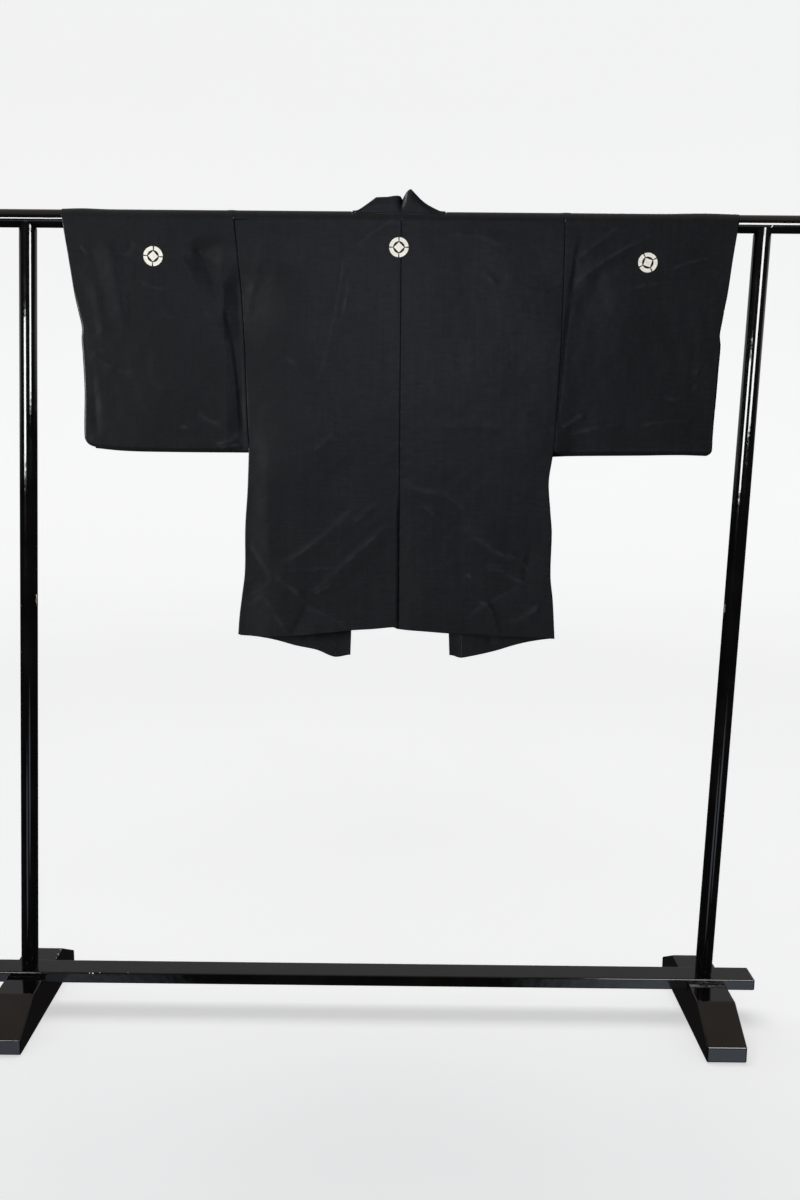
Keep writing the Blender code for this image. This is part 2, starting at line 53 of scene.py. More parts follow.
# Stand, as its solids
RAIL_R = 1.75 * CM
RAIL_LENGTH = 174.0 * CM
RAIL_Z = 164.55 * CM
RAIL_RISE = math.tan(math.radians(0.40))
POST_R = 1.75 * CM
POST_SPACING = 144.5 * CM
POST_TOP_DROP = 0.5 * CM
POST_LEAN = math.tan(math.radians(1.51))
STRETCHER_LENGTH = 165.2 * CM
STRETCHER_WIDTH = 6.2 * CM
STRETCHER_TOP = 9.1 * CM
STRETCHER_THICK = 2.4 * CM
FOOT_LENGTH = 42.4 * CM
FOOT_WIDTH = 8.0 * CM
FOOT_TOP = 8.1 * CM
FOOT_FLAT_LENGTH = 22.4 * CM
FOOT_END_HEIGHT = 3.2 * CM
WOOD_BEVEL = 0.30 * CM
RAIL_EASE, POST_EASE = 0.4 * CM, 0.12 * CM  # how far their ends are rounded off
FULL_TURN = np.linspace(0, 2 * math.pi, 96, endpoint=False)
ROUND_BELOW = 35  # degrees between faces, above which an edge of a round bar is sharp
POST_RINGS = (0.0, 0.002, 0.5, 0.98, 0.998, 1.0)  # shares of its height, by its rounded ends
SEAT_GAP = 0.03 * CM  # between a piece and what it rests on

# Cloth
CLOTH = 0.07 * CM
COLLAR_CLOTH = 0.16 * CM
COLLAR_TUCK = 0.065 * CM  # how far the collar's seam lies outside the body's inner face
SEAM_GAP = 0.01 * CM
WRAP_R = RAIL_R + SEAT_GAP + CLOTH / 2
STEP = 0.32 * CM  # the grid's spacing, and twice that down the front
GRID_EASE = 0.10  # how much closer its lines are near the edges
ARC_ROWS = 8  # rows of the grid from the rail's top to its side
SETTLING, SLEEVE_SETTLING = 5, 6  # rounds in which places and hem lines find each other
# Lengths that set how many rows and columns a grid has, and how far down its first guess goes
BODY_GRID = {"to_neck": 0.23, "to_centre": 0.095, "down": 0.84, "guess": 0.83}
SLEEVE_GRID = {"across": 0.33, "down": 0.47, "guess": 0.45}
COLLAR_GRID = {"down": 0.88, "guess": 0.85}
GUSSET_GRID = {"down": 0.37, "points": 17}
NECK_LEFT, NECK_RIGHT = -8.8 * CM, 9.9 * CM
NECK_ANGLE = 51  # degrees down the back from the rail's top, where the collar is sewn
NECK_TURNING = 6  # degrees more of cloth, which the collar covers
CUFF_Z = {"left": 141.0 * CM, "right": 142.5 * CM}
SLEEVE_CORNER_R = {"left": 2.0 * CM, "right": 1.4 * CM}


def table(columns, *rows, plain=()):
    """Rows in centimetres under named columns, as one array in metres for each name.

    The columns named in plain keep their numbers as they are.
    """
    values = dict(zip(columns.split(), np.array(rows, float).T))
    return {name: value if name in plain else value * CM for name, value in values.items()}


CENTRE_SEAM = table("z x", (83, 1.5), (166, 1))
ARMHOLE = {
    "left": table("z x", (119, -29), (125, -29.3), (141, -29.9), (153, -30.7), (167, -32)),
    "right": table("z x", (119, 32), (125, 32.5), (141, 33), (153, 33.1), (168, 33)),
}
BODY_SIDE = {
    "left": table(
        "z x",
        (76, -31.6), (82, -31.2), (86, -30.9), (90, -30.4), (95, -29.8), (104, -29.7),
        (112, -29.2), (119, -29),
    ),
    "right": table(
        "z x",
        (76, 33.9), (82, 33.5), (90, 32.9), (95, 32.3), (104, 32.3), (108, 31.9),
        (114, 31.4), (119, 32),
    ),
}
SLEEVE_EDGE = {
    "left": table(
        "z x",
        (119, -61.9), (123, -62.05), (131, -61.8), (138, -62), (141, -62.15), (143, -62),
        (146, -62.5), (150, -63.15), (157, -64.15), (162, -64.9), (167, -65.5),
    ),
    "right": table(
        "z x",
        (119, 64.4), (125, 64.4), (131, 64.65), (137, 64.85), (141.5, 65), (143.5, 64.75),
        (146, 65), (154, 65.8), (158, 66.2), (163, 66.8), (168, 67.5),
    ),
}
SLEEVE_HEM = {
    "left": table("x z", (-62, 119.8), (-60, 119.5), (-54, 119), (-45, 118.9), (-29, 119)),
    "right": table("x z", (32, 119), (36, 119.2), (50, 119.5), (58, 119.7), (64, 119.6)),
}
BACK_HEM = table(
    "x z",
    (-31.2, 82.1), (-24.3, 81.7), (-16, 82.4), (-8.3, 83.2), (0.4, 84), (1.5, 83.6), (6, 83.3),
    (11, 83), (33.5, 82.1),
)
FRONT_HEM = table(
    "x z",
    (-31.7, 81.3), (-27.6, 81), (-20.5, 79.3), (-15.5, 78.3), (-11.6, 76.8), (-8.4, 77.2),
    (12.4, 77.5), (14.9, 76.9), (21.2, 78.4), (27.8, 80.3), (34.1, 81.3),
)
FRONT_SEAM = {
    "left": table("z x", (76, -11.6), (120, -10.4), (150, -9.2), (164.6, -8.8)),
    "right": table("z x", (76, 14.9), (120, 12.9), (150, 10.8), (164.8, 9.9)),
}
FRONT_EDGE = {
    "left": table("z x", (76, -8.4), (120, -7.2), (150, -6.2), (167, -5.6)),
    "right": table("z x", (76, 12.4), (120, 10.1), (150, 7.9), (167, 6.8)),
}

# Half the distance between the layers, at the sides, inside the body and inside a sleeve
SIDE_HALF = {
    "left": table(
        "z y",
        (76, 1.95), (84, 1.92), (92, 1.9), (102, 1.76), (111, 1.66), (119, 1.64), (126, 1.74),
        (136, 1.8), (150, 1.84), (163, 1.86),
    ),
    "right": table(
        "z y",
        (76, 2.7), (84, 2.6), (92, 2.45), (102, 2.27), (111, 2.1), (119, 1.98), (126, 1.93),
        (136, 1.9), (150, 1.88), (163, 1.86),
    ),
}
BODY_HALF = table("z y", (76, 2.5), (95, 2.3), (115, 2.1), (140, 1.9), (163, 1.86))
SLEEVE_HALF = table(
    "drop y",
    (0, 0), (0.12, 0.4), (0.4, 0.8), (1, 1.2), (3.5, 1.38), (8, 1.52), (17, 1.66), (32, 1.8),
    (45, 1.86),
)
# The same across the sleeve from its closed outer edge, as a share
EDGE_HALF = table(
    "inwards share",
    (0, 0), (0.1, 0.5), (0.3, 0.74), (0.8, 0.79), (3.5, 0.84), (8, 0.89), (17, 0.95), (30, 1),
    plain=("share",),
)
SIDE_REACH = 4.5 * CM
ARMHOLE_REACH = 3.0 * CM
ARMHOLE_RISE = 1.4 * CM
CUFF_RISE = 10.0 * CM
LEAST_HALF = 0.24 * CM
OPEN_HALF = 0.02 * CM  # the least gap inside a sleeve away from its closed seams
CUFF_SEWN = 2.0 * CM  # how far past a cuff's foot its closed seam calms the cloth
CALM_REACH = 0.9 * CM  # from a sleeve's closed seams, where its folds begin
FOLD_FADE = (1.0 * CM, 6.0 * CM)  # below the rail
OFF_RAIL = 4.0 * CM
GUSSET_DROP = 0.3 * CM
GUSSET_DIP = 0.9 * CM
GUSSET_CREASE = 0.25 * CM
GUSSET_WAVES = 19  # radians of its creases' wave from top to hem

# Folds of the back, each on a curve through three points, with how far it reaches on the left
# and right of that way. rise is outwards (+) or inwards (-), and edge runs from 0, a soft roll,
# to 1, a sharp crease between two flat facets.
BACK_FOLDS = table(
    "x0 z0 x1 z1 x2 z2 left right rise edge",
    # left sleeve: the wedge that falls to the armhole, the tuck beside the seam, and small creases
    (-40, 161, -35.6, 152, -31.6, 140, 12, 3.6, -0.68, 0.9),
    (-40.6, 160.6, -38, 158, -34.4, 154.8, 3, 1, -0.08, 0.9),
    (-34, 163, -33.7, 157, -33.1, 150.6, 0.9, 2.5, 0.04, 0.8),
    (-31.2, 157, -30.6, 139, -29.8, 112, 14, 3, -0.85, 0.9),
    (-32.4, 143, -31, 133, -30.3, 121, 1.8, 0.6, -0.11, 0.9),
    (-56.6, 161, -54.4, 152, -53.5, 142.5, 1.1, 3.4, 0.18, 0.8),
    (-51.3, 159.8, -52.2, 158.2, -53.3, 156.4, 0.6, 0.6, -0.11, 1),
    (-50.3, 152.3, -47.6, 151.1, -44.8, 150.4, 1.5, 0.5, 0.12, 1),
    (-46.1, 146.5, -45, 145.7, -43.3, 145, 1.2, 0.5, 0.09, 1),
    (-60, 138.4, -57.8, 136.6, -55.5, 134.8, 0.5, 1.7, 0.06, 1),
    (-55.8, 135.1, -54, 134.6, -52.5, 134.4, 0.5, 0.5, -0.09, 1),
    (-59.9, 138, -58.5, 138.5, -57.2, 139, 0.4, 0.6, 0.02, 1),
    (-39.4, 127.7, -37.6, 125.7, -34.3, 124.5, 0.8, 0.7, -0.14, 1),
    (-42.5, 123.9, -40.5, 123.6, -38.5, 123.6, 0.9, 0.4, 0.14, 1),
    (-34.1, 123.7, -32.6, 123, -31.3, 122.6, 0.5, 0.5, -0.05, 1),
    (-35.8, 120.5, -33.2, 121.1, -30.9, 121.8, 0.4, 0.8, 0.14, 1),
    (-34.8, 119.9, -32.8, 120.2, -30.5, 120.4, 0.35, 0.5, 0.11, 1),
    (-48.4, 132.4, -47.4, 132.1, -46.2, 131.7, 0.5, 0.5, -0.04, 1),
    (-62.3, 158.7, -61.4, 158, -60.5, 157.1, 0.5, 0.5, -0.07, 1),
    (-58.7, 152, -58.4, 146, -57.3, 140.5, 1.6, 1.3, 0.06, 0.4),
    (-60.1, 136.5, -59.6, 128, -59.3, 120.8, 1.2, 2, -0.08, 0.6),
    (-48.6, 140.5, -48.9, 136, -49, 131.5, 1.4, 1.8, -0.03, 0.4),
    # right sleeve: the deep line beside the seam, the creases that run up from it, and small ones
    (36.6, 164.8, 35.6, 158, 34.5, 149, 3, 0.7, -0.14, 0.8),
    (35.3, 152.5, 33.9, 138.5, 33, 121, 3.6, 1, -0.14, 0.95),
    (35.2, 157.2, 37.8, 159.6, 45, 165.2, 0.7, 1.3, 0.11, 1),
    (35.2, 152.4, 40.6, 157.2, 52, 163.6, 0.8, 1.7, 0.1, 1),
    (40.5, 157, 39.3, 151.2, 36.7, 145.8, 4.5, 2.2, -0.12, 0.9),
    (54.2, 155.9, 57.6, 157.3, 62.2, 158.2, 1.4, 0.5, 0.06, 1),
    (45, 151.1, 50, 153, 58.4, 153.4, 1.3, 0.5, 0.08, 1),
    (41.3, 148.5, 43, 146.4, 45.4, 144.5, 0.7, 0.7, -0.03, 0.8),
    (61.4, 138.4, 60.6, 137, 59.9, 135.2, 0.5, 1.3, 0.07, 1),
    (60.1, 133.9, 59.6, 133, 59.1, 132.2, 0.5, 0.6, -0.05, 1),
    (33.6, 124.6, 36, 126.2, 38.8, 127.6, 0.5, 1, 0.13, 1),
    (34.6, 123, 38.5, 124.3, 43.4, 124.9, 0.5, 1.7, 0.06, 1),
    (48.8, 125.4, 54, 126.2, 59.2, 126.4, 0.6, 1.5, 0.04, 1),
    (61.1, 147.5, 60.9, 143, 60.3, 139.3, 0.8, 1.3, 0.04, 0.7),
    (53, 131.4, 55.2, 130.8, 57.2, 130.9, 0.6, 0.6, -0.03, 1),
    # back, left half: the wedge under the armhole seam, the long creases and the star by the hem
    (-25.3, 157.8, -27.9, 155.6, -30.4, 153.1, 1.3, 1.3, 0.04, 0.9),
    (-26, 157.2, -27.9, 151.6, -29.6, 144.4, 1, 1.8, 0.05, 0.9),
    (-10.1, 161, -12.2, 145, -18.2, 123.5, 4, 0.8, 0.07, 1),
    (-12, 123, -14, 121.3, -16.2, 119.4, 2, 0.8, 0.09, 1),
    (-9.4, 154, -9.8, 149, -11.4, 144, 1.6, 0.7, 0.04, 1),
    (-21.4, 138, -19.6, 136.2, -18.2, 133.6, 1.6, 0.7, 0.05, 1),
    (-7, 109, -14.2, 102.3, -23.2, 95.9, 3.5, 0.8, 0.11, 1),
    (-0.2, 105.8, -7.6, 98.7, -17.8, 89.6, 3, 0.8, 0.1, 1),
    (-8.3, 104.8, -5.8, 106.7, -3, 109, 1, 0.35, 0.13, 1),
    (-23.4, 95.4, -16, 95.7, -9.2, 96.2, 2.2, 0.5, 0.07, 1),
    (-15.7, 90.7, -13.6, 91.8, -11.4, 93.1, 1, 0.4, 0.11, 1),
    (-23.6, 94.4, -20.8, 92.3, -17.6, 89.8, 2.4, 0.6, 0.15, 1),
    (-29.6, 101, -27.4, 97.6, -24.6, 93.6, 0.8, 2.4, -0.12, 0.92),
    (-24.4, 95, -26.6, 92.2, -29.6, 90.4, 0.9, 2, -0.08, 0.92),
    (-26.6, 91, -24, 87, -20.3, 81.2, 3.6, 5, 0.15, 1),
    (-17.9, 87, -14.5, 86.8, -9.3, 84, 0.9, 2.4, -0.07, 1),
    (-16.8, 88.6, -18.3, 85.4, -20.2, 81.2, 3, 0.9, -0.2, 1),
    (-25.4, 123, -25.2, 108, -24.9, 95, 3.2, 4.2, 0.15, 0.7),
    (-8.4, 158.9, -4, 162.4, 1, 165.2, 0.8, 2, 0.08, 1),
    # back, right half, and the seam's own fold
    (2, 114, 5.5, 112, 11.2, 111.1, 0.6, 2, 0.05, 1),
    (5.8, 109, 8, 107.4, 9.5, 106, 1.2, 0.6, 0.07, 1),
    (9.9, 111.8, 12.6, 109.7, 15, 108, 1.2, 0.6, 0.09, 1),
    (14, 104.8, 18.8, 101.5, 25.4, 97.4, 2.4, 0.8, 0.22, 1),
    (22.8, 99, 25.6, 98.3, 28.3, 95.4, 1.4, 0.7, 0.09, 1),
    (10.5, 100.4, 11.6, 98.4, 12.5, 96.4, 1.6, 1, 0.08, 0.8),
    (19, 96.5, 21.2, 96.1, 23.6, 96, 1.2, 0.4, 0.14, 1),
    (15, 95.3, 17.2, 93.7, 20.4, 91.9, 0.5, 1.4, 0.13, 1),
    (23.3, 95, 25.6, 94.1, 28.1, 93.1, 1.5, 0.7, 0.09, 1),
    (29, 101.4, 27.2, 96.4, 27.8, 90.8, 2, 0.7, -0.13, 0.9),
    (16, 91.4, 17.6, 89.9, 19.4, 88.8, 1, 0.7, 0.06, 1),
    (18.6, 88.3, 22, 90.6, 26.4, 93.2, 0.6, 2.6, -0.11, 1),
    (18.8, 89.8, 20.6, 87, 21.8, 82.4, 0.8, 5, 0.23, 1),
    (24.5, 84.9, 27.6, 86.6, 30.5, 89.2, 0.8, 2, 0.13, 1),
    (5.5, 124.8, 15, 125, 27, 124.7, 2, 0.5, 0.05, 1),
    (9.3, 161.8, 16, 161.8, 20.8, 159.9, 1.5, 0.6, 0.07, 1),
    (16.6, 154.8, 18.4, 153.7, 19.8, 152.2, 1.2, 0.6, 0.07, 1),
    (25.5, 151.6, 28, 151, 30.4, 151.6, 1, 0.6, 0.06, 0.9),
    (1.45, 112, 1.55, 97, 1.7, 81, 5, 0.6, -0.24, 0.85),
    # broad rolls of the back
    (-15, 158, -11, 140, -16, 124, 7, 7, -0.11, 0),
    (-12, 118, -9, 111, -10.5, 104, 6, 6, -0.09, 0),
    plain=("edge",),
)
FRONT_FOLDS = table(
    "x0 z0 x1 z1 x2 z2 left right rise edge",
    (-45, 162.5, -40.2, 153, -33.5, 144, 3.1, 2.4, -0.6, 0.4),
    (-40.4, 161, -37, 156, -33.6, 150, 1.7, 1.3, 0.26, 0.8),
    (-53.7, 160, -52.9, 149, -51, 138, 2.8, 2.2, -0.34, 0.4),
    (-34, 143, -31.8, 132, -31, 122, 1.7, 1.3, -0.35, 0.6),
    (-58.8, 133.5, -55, 131, -51.5, 131.4, 1.3, 1, 0.18, 0.8),
    (-40.5, 126, -37, 123.9, -33, 123.2, 1, 0.8, -0.18, 0.9),
    (-36.4, 121.4, -33.6, 121.6, -30.8, 120.6, 0.7, 0.6, 0.14, 0.9),
    (35.5, 162.5, 34.6, 147, 34, 128, 1.5, 1.2, -0.5, 0.6),
    (36, 152.2, 42.4, 158, 50, 161.2, 2, 1.5, 0.32, 0.8),
    (38.6, 154, 39.8, 148, 38.4, 141, 2.5, 2, -0.26, 0.4),
    (44, 147.5, 51, 149, 58.5, 147.6, 1.1, 0.9, -0.12, 0.8),
    (60, 139, 58.8, 135.4, 59.4, 131.5, 1.1, 0.9, 0.16, 0.7),
    (35, 125.5, 38.4, 127.4, 42, 127.8, 1, 0.8, 0.16, 0.8),
    (-14, 150, -17.6, 118, -19, 84, 3.6, 3.6, 0.52, 0.1),
    (-24.6, 112, -24, 98, -22, 80.5, 3.1, 3.1, -0.48, 0.1),
    (-27.4, 154, -25.6, 147, -27.2, 139, 1.7, 1.3, 0.22, 0.6),
    (-12.6, 118, -18.4, 112, -25.6, 108.4, 1.4, 1.1, 0.22, 0.8),
    (-13, 96, -17, 92.4, -22.4, 91.4, 1.1, 0.9, -0.18, 0.85),
    (-21.5, 88.4, -18.6, 84.6, -17, 79.6, 1.3, 1, 0.2, 0.8),
    (16.5, 148, 19.4, 118, 20.5, 84, 3.6, 3.6, 0.52, 0.1),
    (27.6, 110, 27.4, 96, 25, 81.5, 3.1, 3.1, -0.48, 0.1),
    (29.4, 152, 27.2, 145.6, 28.8, 138.5, 1.7, 1.3, 0.2, 0.6),
    (15.6, 110.6, 21, 105, 28.4, 102.4, 1.4, 1.1, 0.22, 0.8),
    (17.2, 92.6, 20.4, 90, 25.6, 90.6, 1.1, 0.9, -0.18, 0.85),
    (24, 87.6, 21.6, 83.6, 20.6, 79.4, 1.3, 1, 0.18, 0.8),
    plain=("edge",),
)
FOLD_SAMPLES = 9
FOLD_BELL = 1.6  # how narrow a soft roll's bell is
FOLD_BOUND = 1.6  # times its reach: past this a fold isn't felt
FOLD_BLUNT = 0.08 * CM  # how round its crease is
FOLD_TAPER = 0.22  # the share of a fold's length over which it rises at either end
FOLD_SWELL = 0.22  # how unevenly deep it is along the way
FOLD_PHASE = 2.4  # how far one fold's unevenness is shifted from the next one's
# The silk is painted lighter along creases as sharp as this, this far from the line and its middle:
# partly rubbed silk, partly painted highlight
WEAR_AND_HIGHLIGHT_EDGE, WEAR_AND_HIGHLIGHT_REACH, WEAR_AND_HIGHLIGHT_SPAN = 0.95, 0.42 * CM, 12 * CM

# Slow swells of the cloth: (shortest wave, longest wave, height, number of waves)
SWELLS = (
    (0.10, 0.24, 0.013 * CM, 9), (0.028, 0.07, 0.0035 * CM, 14), (0.013, 0.026, 0.0009 * CM, 22)
)
# Each seam of the back folds under towards +X, so the piece on the -X side stands a little proud
SEAM_LAP = 0.03 * CM
LAP_FADE = 0.4 * CM
# By the armhole's foot the sleeve's back edge tucks further under the body
FOOT_TUCK, FOOT_REACH = 0.15 * CM, 4.0 * CM
PROUD_ROLL, PROUD_WIDTH = 0.03 * CM, 0.3 * CM
# On the piece that lies under at each seam: how deep it sinks and how far from the seam
SUNK_ROLLS = {
    "armhole_left": (0.12 * CM, 12.0 * CM),
    "centre": (0.08 * CM, 3.0 * CM),
    "armhole_right": (0.05 * CM, 12.0 * CM),
}
PUCKER = 0.030 * CM
PUCKER_REACH = 1.0 * CM
PUCKER_WAVE = 1.9 * CM
HEM_RIPPLE = 0.05 * CM
HEM_WAVES = (2.1 * CM, 1.27 * CM)
HEM_FROM = 0.88  # the share of the way down where they begin
# Where seam allowances and cuffs lift the cloth off the rail: place, width and lift
RAIL_BUMPS = table(
    "centre width lift",
    (-61.5, 3.5, 0.16), (-32.2, 0.8, 0.07), (33.4, 0.8, 0.09), (60.5, 5, 0.16),
)

# The collar's stations round the neck: angle over the rail (degrees from its top, back is
# negative), place of the sewn edge, and the free edge that stands up or falls inwards
NECK = table(
    "angle sewn_x free_x free_y free_z",
    (90, -8.77, -5.62, 2.45, 0.4),
    (65, -8.72, -5.6, 2.1, 1.5),
    (40, -8.66, -5.35, 1.6, 1.95),
    (15, -8.62, -4.95, 0.95, 2.65),
    (-10, -8.58, -4.45, 0.25, 3.25),
    (-30, -8.45, -4.05, -0.45, 3.85),
    (-46, -7.9, -4, -1.1, 4.28),
    (-46, -6.2, -3.5, -1.4, 4.34),
    (-46, -4.5, -2.65, -1.5, 4.38),
    (-46, -2.9, -1.7, -1.5, 4.42),
    (-46, -1.5, -0.6, -1.5, 4.6),
    (-46, -0.4, 0.2, -1.45, 4.66),
    (-46, 0.3, 0.75, -1.25, 4.55),
    (-46, 0.9, 1.2, -0.85, 4.05),
    (-46, 1.5, 1.6, -1.2, 4.7),
    (-46, 2.1, 2.15, -1.55, 5.5),
    (-46, 2.9, 2.75, -1.7, 5.85),
    (-46, 3.9, 3.2, -1.6, 5.5),
    (-46, 5.2, 3.75, -1.45, 4.95),
    (-46, 6.6, 4.4, -1.2, 4.3),
    (-46, 8.1, 5.1, -0.8, 3.75),
    (-46, 9.2, 5.75, -0.3, 3.3),
    (-30, 9.62, 6.2, 0.2, 2.98),
    (-10, 9.7, 6.6, 0.8, 2.7),
    (15, 9.74, 6.85, 1.35, 2.15),
    (40, 9.78, 6.93, 1.8, 1.6),
    (65, 9.82, 6.95, 2.2, 0.9),
    (90, 9.86, 6.95, 2.45, 0.3),
    plain=("angle",),
)
COLLAR_SEWN_R = WRAP_R + 0.10 * CM
COLLAR_HOLLOW = 0.28  # its sag between its edges round the neck, as a share of its height
COLLAR_SWELL = 0.12 * CM
COLLAR_BOW = 0.05 * CM
COLLAR_SETTLES = 7.0  # it takes the fronts' depth over this part (1 in 7) of its fall
COLLAR_FACES = 18
NECK_STATION_ROWS = 6  # rows of the grid between two stations

# Crests: centre in X and Z on the back, and how far each is turned
CREST_R = 1.9 * CM
CRESTS = {
    "crest_centre": (0.6 * CM, 159.4 * CM, 0),
    "crest_left": (-47.5 * CM, 157.0 * CM, -4),
    "crest_right": (49.5 * CM, 157.2 * CM, 28),
}
CREST_LIFT = CLOTH / 2 + 0.012 * CM
# As shares of the radius: the arcs' inner and outer edge, and half the diamond's side on the slant
CREST_BAND, CREST_DIAMOND = (0.60, 1.0), 0.26
CREST_ARC = (4, 86)  # degrees within each quarter
CREST_POINTS = {"band": 7, "arc": 19, "diamond": 9}

random = np.random.default_rng(20)


def smooth(t):
    t = np.clip(t, 0.0, 1.0)
    return t * t * (3.0 - 2.0 * t)


def read(rows, key, value, at):
    """The table's values here, on a smooth curve through its rows."""
    xs, ys = rows[key], rows[value]
    at = np.clip(at, xs[0], xs[-1])
    i = np.clip(np.searchsorted(xs, at, "right"), 1, len(xs) - 1) - 1
    before, after = np.maximum(i - 1, 0), np.minimum(i + 2, len(xs) - 1)
    span = xs[i + 1] - xs[i]
    start = (ys[i + 1] - ys[before]) / (xs[i + 1] - xs[before]) * span
    end = (ys[after] - ys[i]) / (xs[after] - xs[i]) * span
    t = (at - xs[i]) / span
    bend = t * (1 - t) * (start * (1 - t) - end * t)
    return ys[i] + (ys[i + 1] - ys[i]) * t * t * (3 - 2 * t) + bend


def x_at(rows, z):
    return read(rows, "z", "x", z)


def z_at(rows, x):
    return read(rows, "x", "z", x)


def rail_z(x):
    return RAIL_Z + x * RAIL_RISE


def hung(hem, x, drop):
    """The height at a share of the way from the rail down to the hem."""
    return rail_z(x) + (z_at(hem, x) - rail_z(x)) * drop


def swell_waves():
    """Waves in all directions, for the cloth's slow unevenness."""
    waves = []
    for shortest, longest, height, count in SWELLS:
        for _ in range(count):
            length = random.uniform(shortest, longest)
            heading, phase = random.uniform(0, 2 * math.pi, 2)
            number = 2 * math.pi / length
            waves.append((number * math.cos(heading), number * math.sin(heading), phase, height))
    return waves


WAVES = swell_waves()


def swell(layer, x, z):
    """The cloth's slow unevenness, which differs between back and front."""
    total = np.zeros_like(x)
    for kx, kz, phase, height in WAVES:
        total += height * np.sin(kx * x + kz * z + phase + layer)
    return total


def fold_curve(fold):
    """Points along a fold, on the parabola through its three points."""
    t = np.linspace(0, 1, FOLD_SAMPLES)[:, None]
    a, b, c = (np.array([fold["x%d" % i], fold["z%d" % i]]) for i in range(3))
    return a * (1 - t) * (1 - 2 * t) + b * 4 * t * (1 - t) + c * t * (2 * t - 1)


def one_fold(fold, x, z, swing):
    """How far one fold moves the cloth at each place."""
    curve = fold_curve(fold)
    away = np.full(x.shape, np.inf)
    along = np.zeros(x.shape)
    reach = np.ones(x.shape)
    for i, (a, b) in enumerate(zip(curve[:-1], curve[1:])):
        run = b - a
        dx, dz = x - a[0], z - a[1]
        share = np.clip((dx * run[0] + dz * run[1]) / (run @ run), 0, 1)
        distance = np.hypot(dx - share * run[0], dz - share * run[1])
        nearer = distance < away
        away = np.where(nearer, distance, away)
        along = np.where(nearer, (i + share) / (FOLD_SAMPLES - 1), along)
        side = np.where(run[0] * dz - run[1] * dx > 0, fold["left"], fold["right"])
        reach = np.where(nearer, side, reach)
    sharp = np.clip(1 - (np.hypot(away, FOLD_BLUNT) - FOLD_BLUNT) / reach, 0, 1)
    soft = np.exp(-((FOLD_BELL * away / reach) ** 2))
    taper = smooth(along / FOLD_TAPER) * smooth((1 - along) / FOLD_TAPER)
    uneven = 1 + FOLD_SWELL * np.sin(7.0 * along + swing)
    edge = fold["edge"]
    return fold["rise"] * taper * uneven * (edge * sharp + (1 - edge) * soft)


def fold_depth(layer, x, z):
    """How far the layer's folds, creases and swells move it outwards."""
    folds = BACK_FOLDS if layer == BACK else FRONT_FOLDS
    total = swell(layer, x, z)
    for i in range(len(folds["x0"])):
        fold = {name: values[i] for name, values in folds.items()}
        reach = FOLD_BOUND * max(fold["left"], fold["right"])
        ends = [[fold["%s%d" % (axis, k)] for k in range(3)] for axis in "xz"]
        near = (x > min(ends[0]) - reach) & (x < max(ends[0]) + reach)
        near &= (z > min(ends[1]) - reach) & (z < max(ends[1]) + reach)
        if near.any():
            total[near] += one_fold(fold, x[near], z[near], FOLD_PHASE * i)
    start, full = FOLD_FADE
    return total * smooth((rail_z(x) - z - start) / (full - start))


def crease_wear_and_highlight(x, z):
    """How much lighter the silk is painted along its sharp creases, from 0 to 1: partly wear, partly
    painted highlight.
    """
    worn = np.zeros_like(x)
    for i, edge in enumerate(BACK_FOLDS["edge"]):
        if edge < WEAR_AND_HIGHLIGHT_EDGE:
            continue
        fold = {name: values[i] for name, values in BACK_FOLDS.items()}
        line = {**fold, "left": WEAR_AND_HIGHLIGHT_REACH, "right": WEAR_AND_HIGHLIGHT_REACH, "rise": 1.0, "edge": 0.0}
        near = np.hypot(x - fold["x1"], z - fold["z1"]) < WEAR_AND_HIGHLIGHT_SPAN
        worn[near] = np.maximum(worn[near], one_fold(line, x[near], z[near], FOLD_PHASE * i))
    return worn


def pucker(away, along, phase):
    """Small ripples beside a seam, which die away from it and never repeat evenly."""
    wander = 1.7 * np.sin(along / (2.3 * PUCKER_WAVE))
    wave = np.sin(2 * math.pi * along / PUCKER_WAVE + phase + wander)
    patchy = 0.55 + 0.45 * np.sin(along / (3.1 * PUCKER_WAVE) + 2 * phase)
    return PUCKER * wave * patchy * np.exp(-away / PUCKER_REACH)


def seam_roll(away, depth=PROUD_ROLL, width=PROUD_WIDTH):
    """A sewn edge's turn inwards, which is deepest at the seam."""
    return -depth * (1 - smooth(away / width))


def sunk_roll(away, seam):
    return seam_roll(away, *SUNK_ROLLS[seam])


def body_side(hand, z):
    """The body's outer edge: the armhole seam above, the side below it."""
    split = ARMHOLE[hand]["z"][0]
    return np.where(z > split, x_at(ARMHOLE[hand], z), x_at(BODY_SIDE[hand], z))


def sleeve_edge(hand, z):
    """The sleeve's outer edge, rounded off at its lower corner."""
    x = x_at(SLEEVE_EDGE[hand], z)
    radius = SLEEVE_CORNER_R[hand]
    below = np.clip(radius - (z - z_at(SLEEVE_HEM[hand], x)), 0, radius)
    cut = radius - np.sqrt(radius**2 - below**2)
    return x - np.copysign(cut, x)


def body_half(hand, x, z):
    """Half the distance between back and front, from the side's to the body's own."""
    near = np.exp(-(((x - body_side(hand, z)) / SIDE_REACH) ** 2))
    return near * read(SIDE_HALF[hand], "z", "y", z) + (1 - near) * read(BODY_HALF, "z", "y", z)


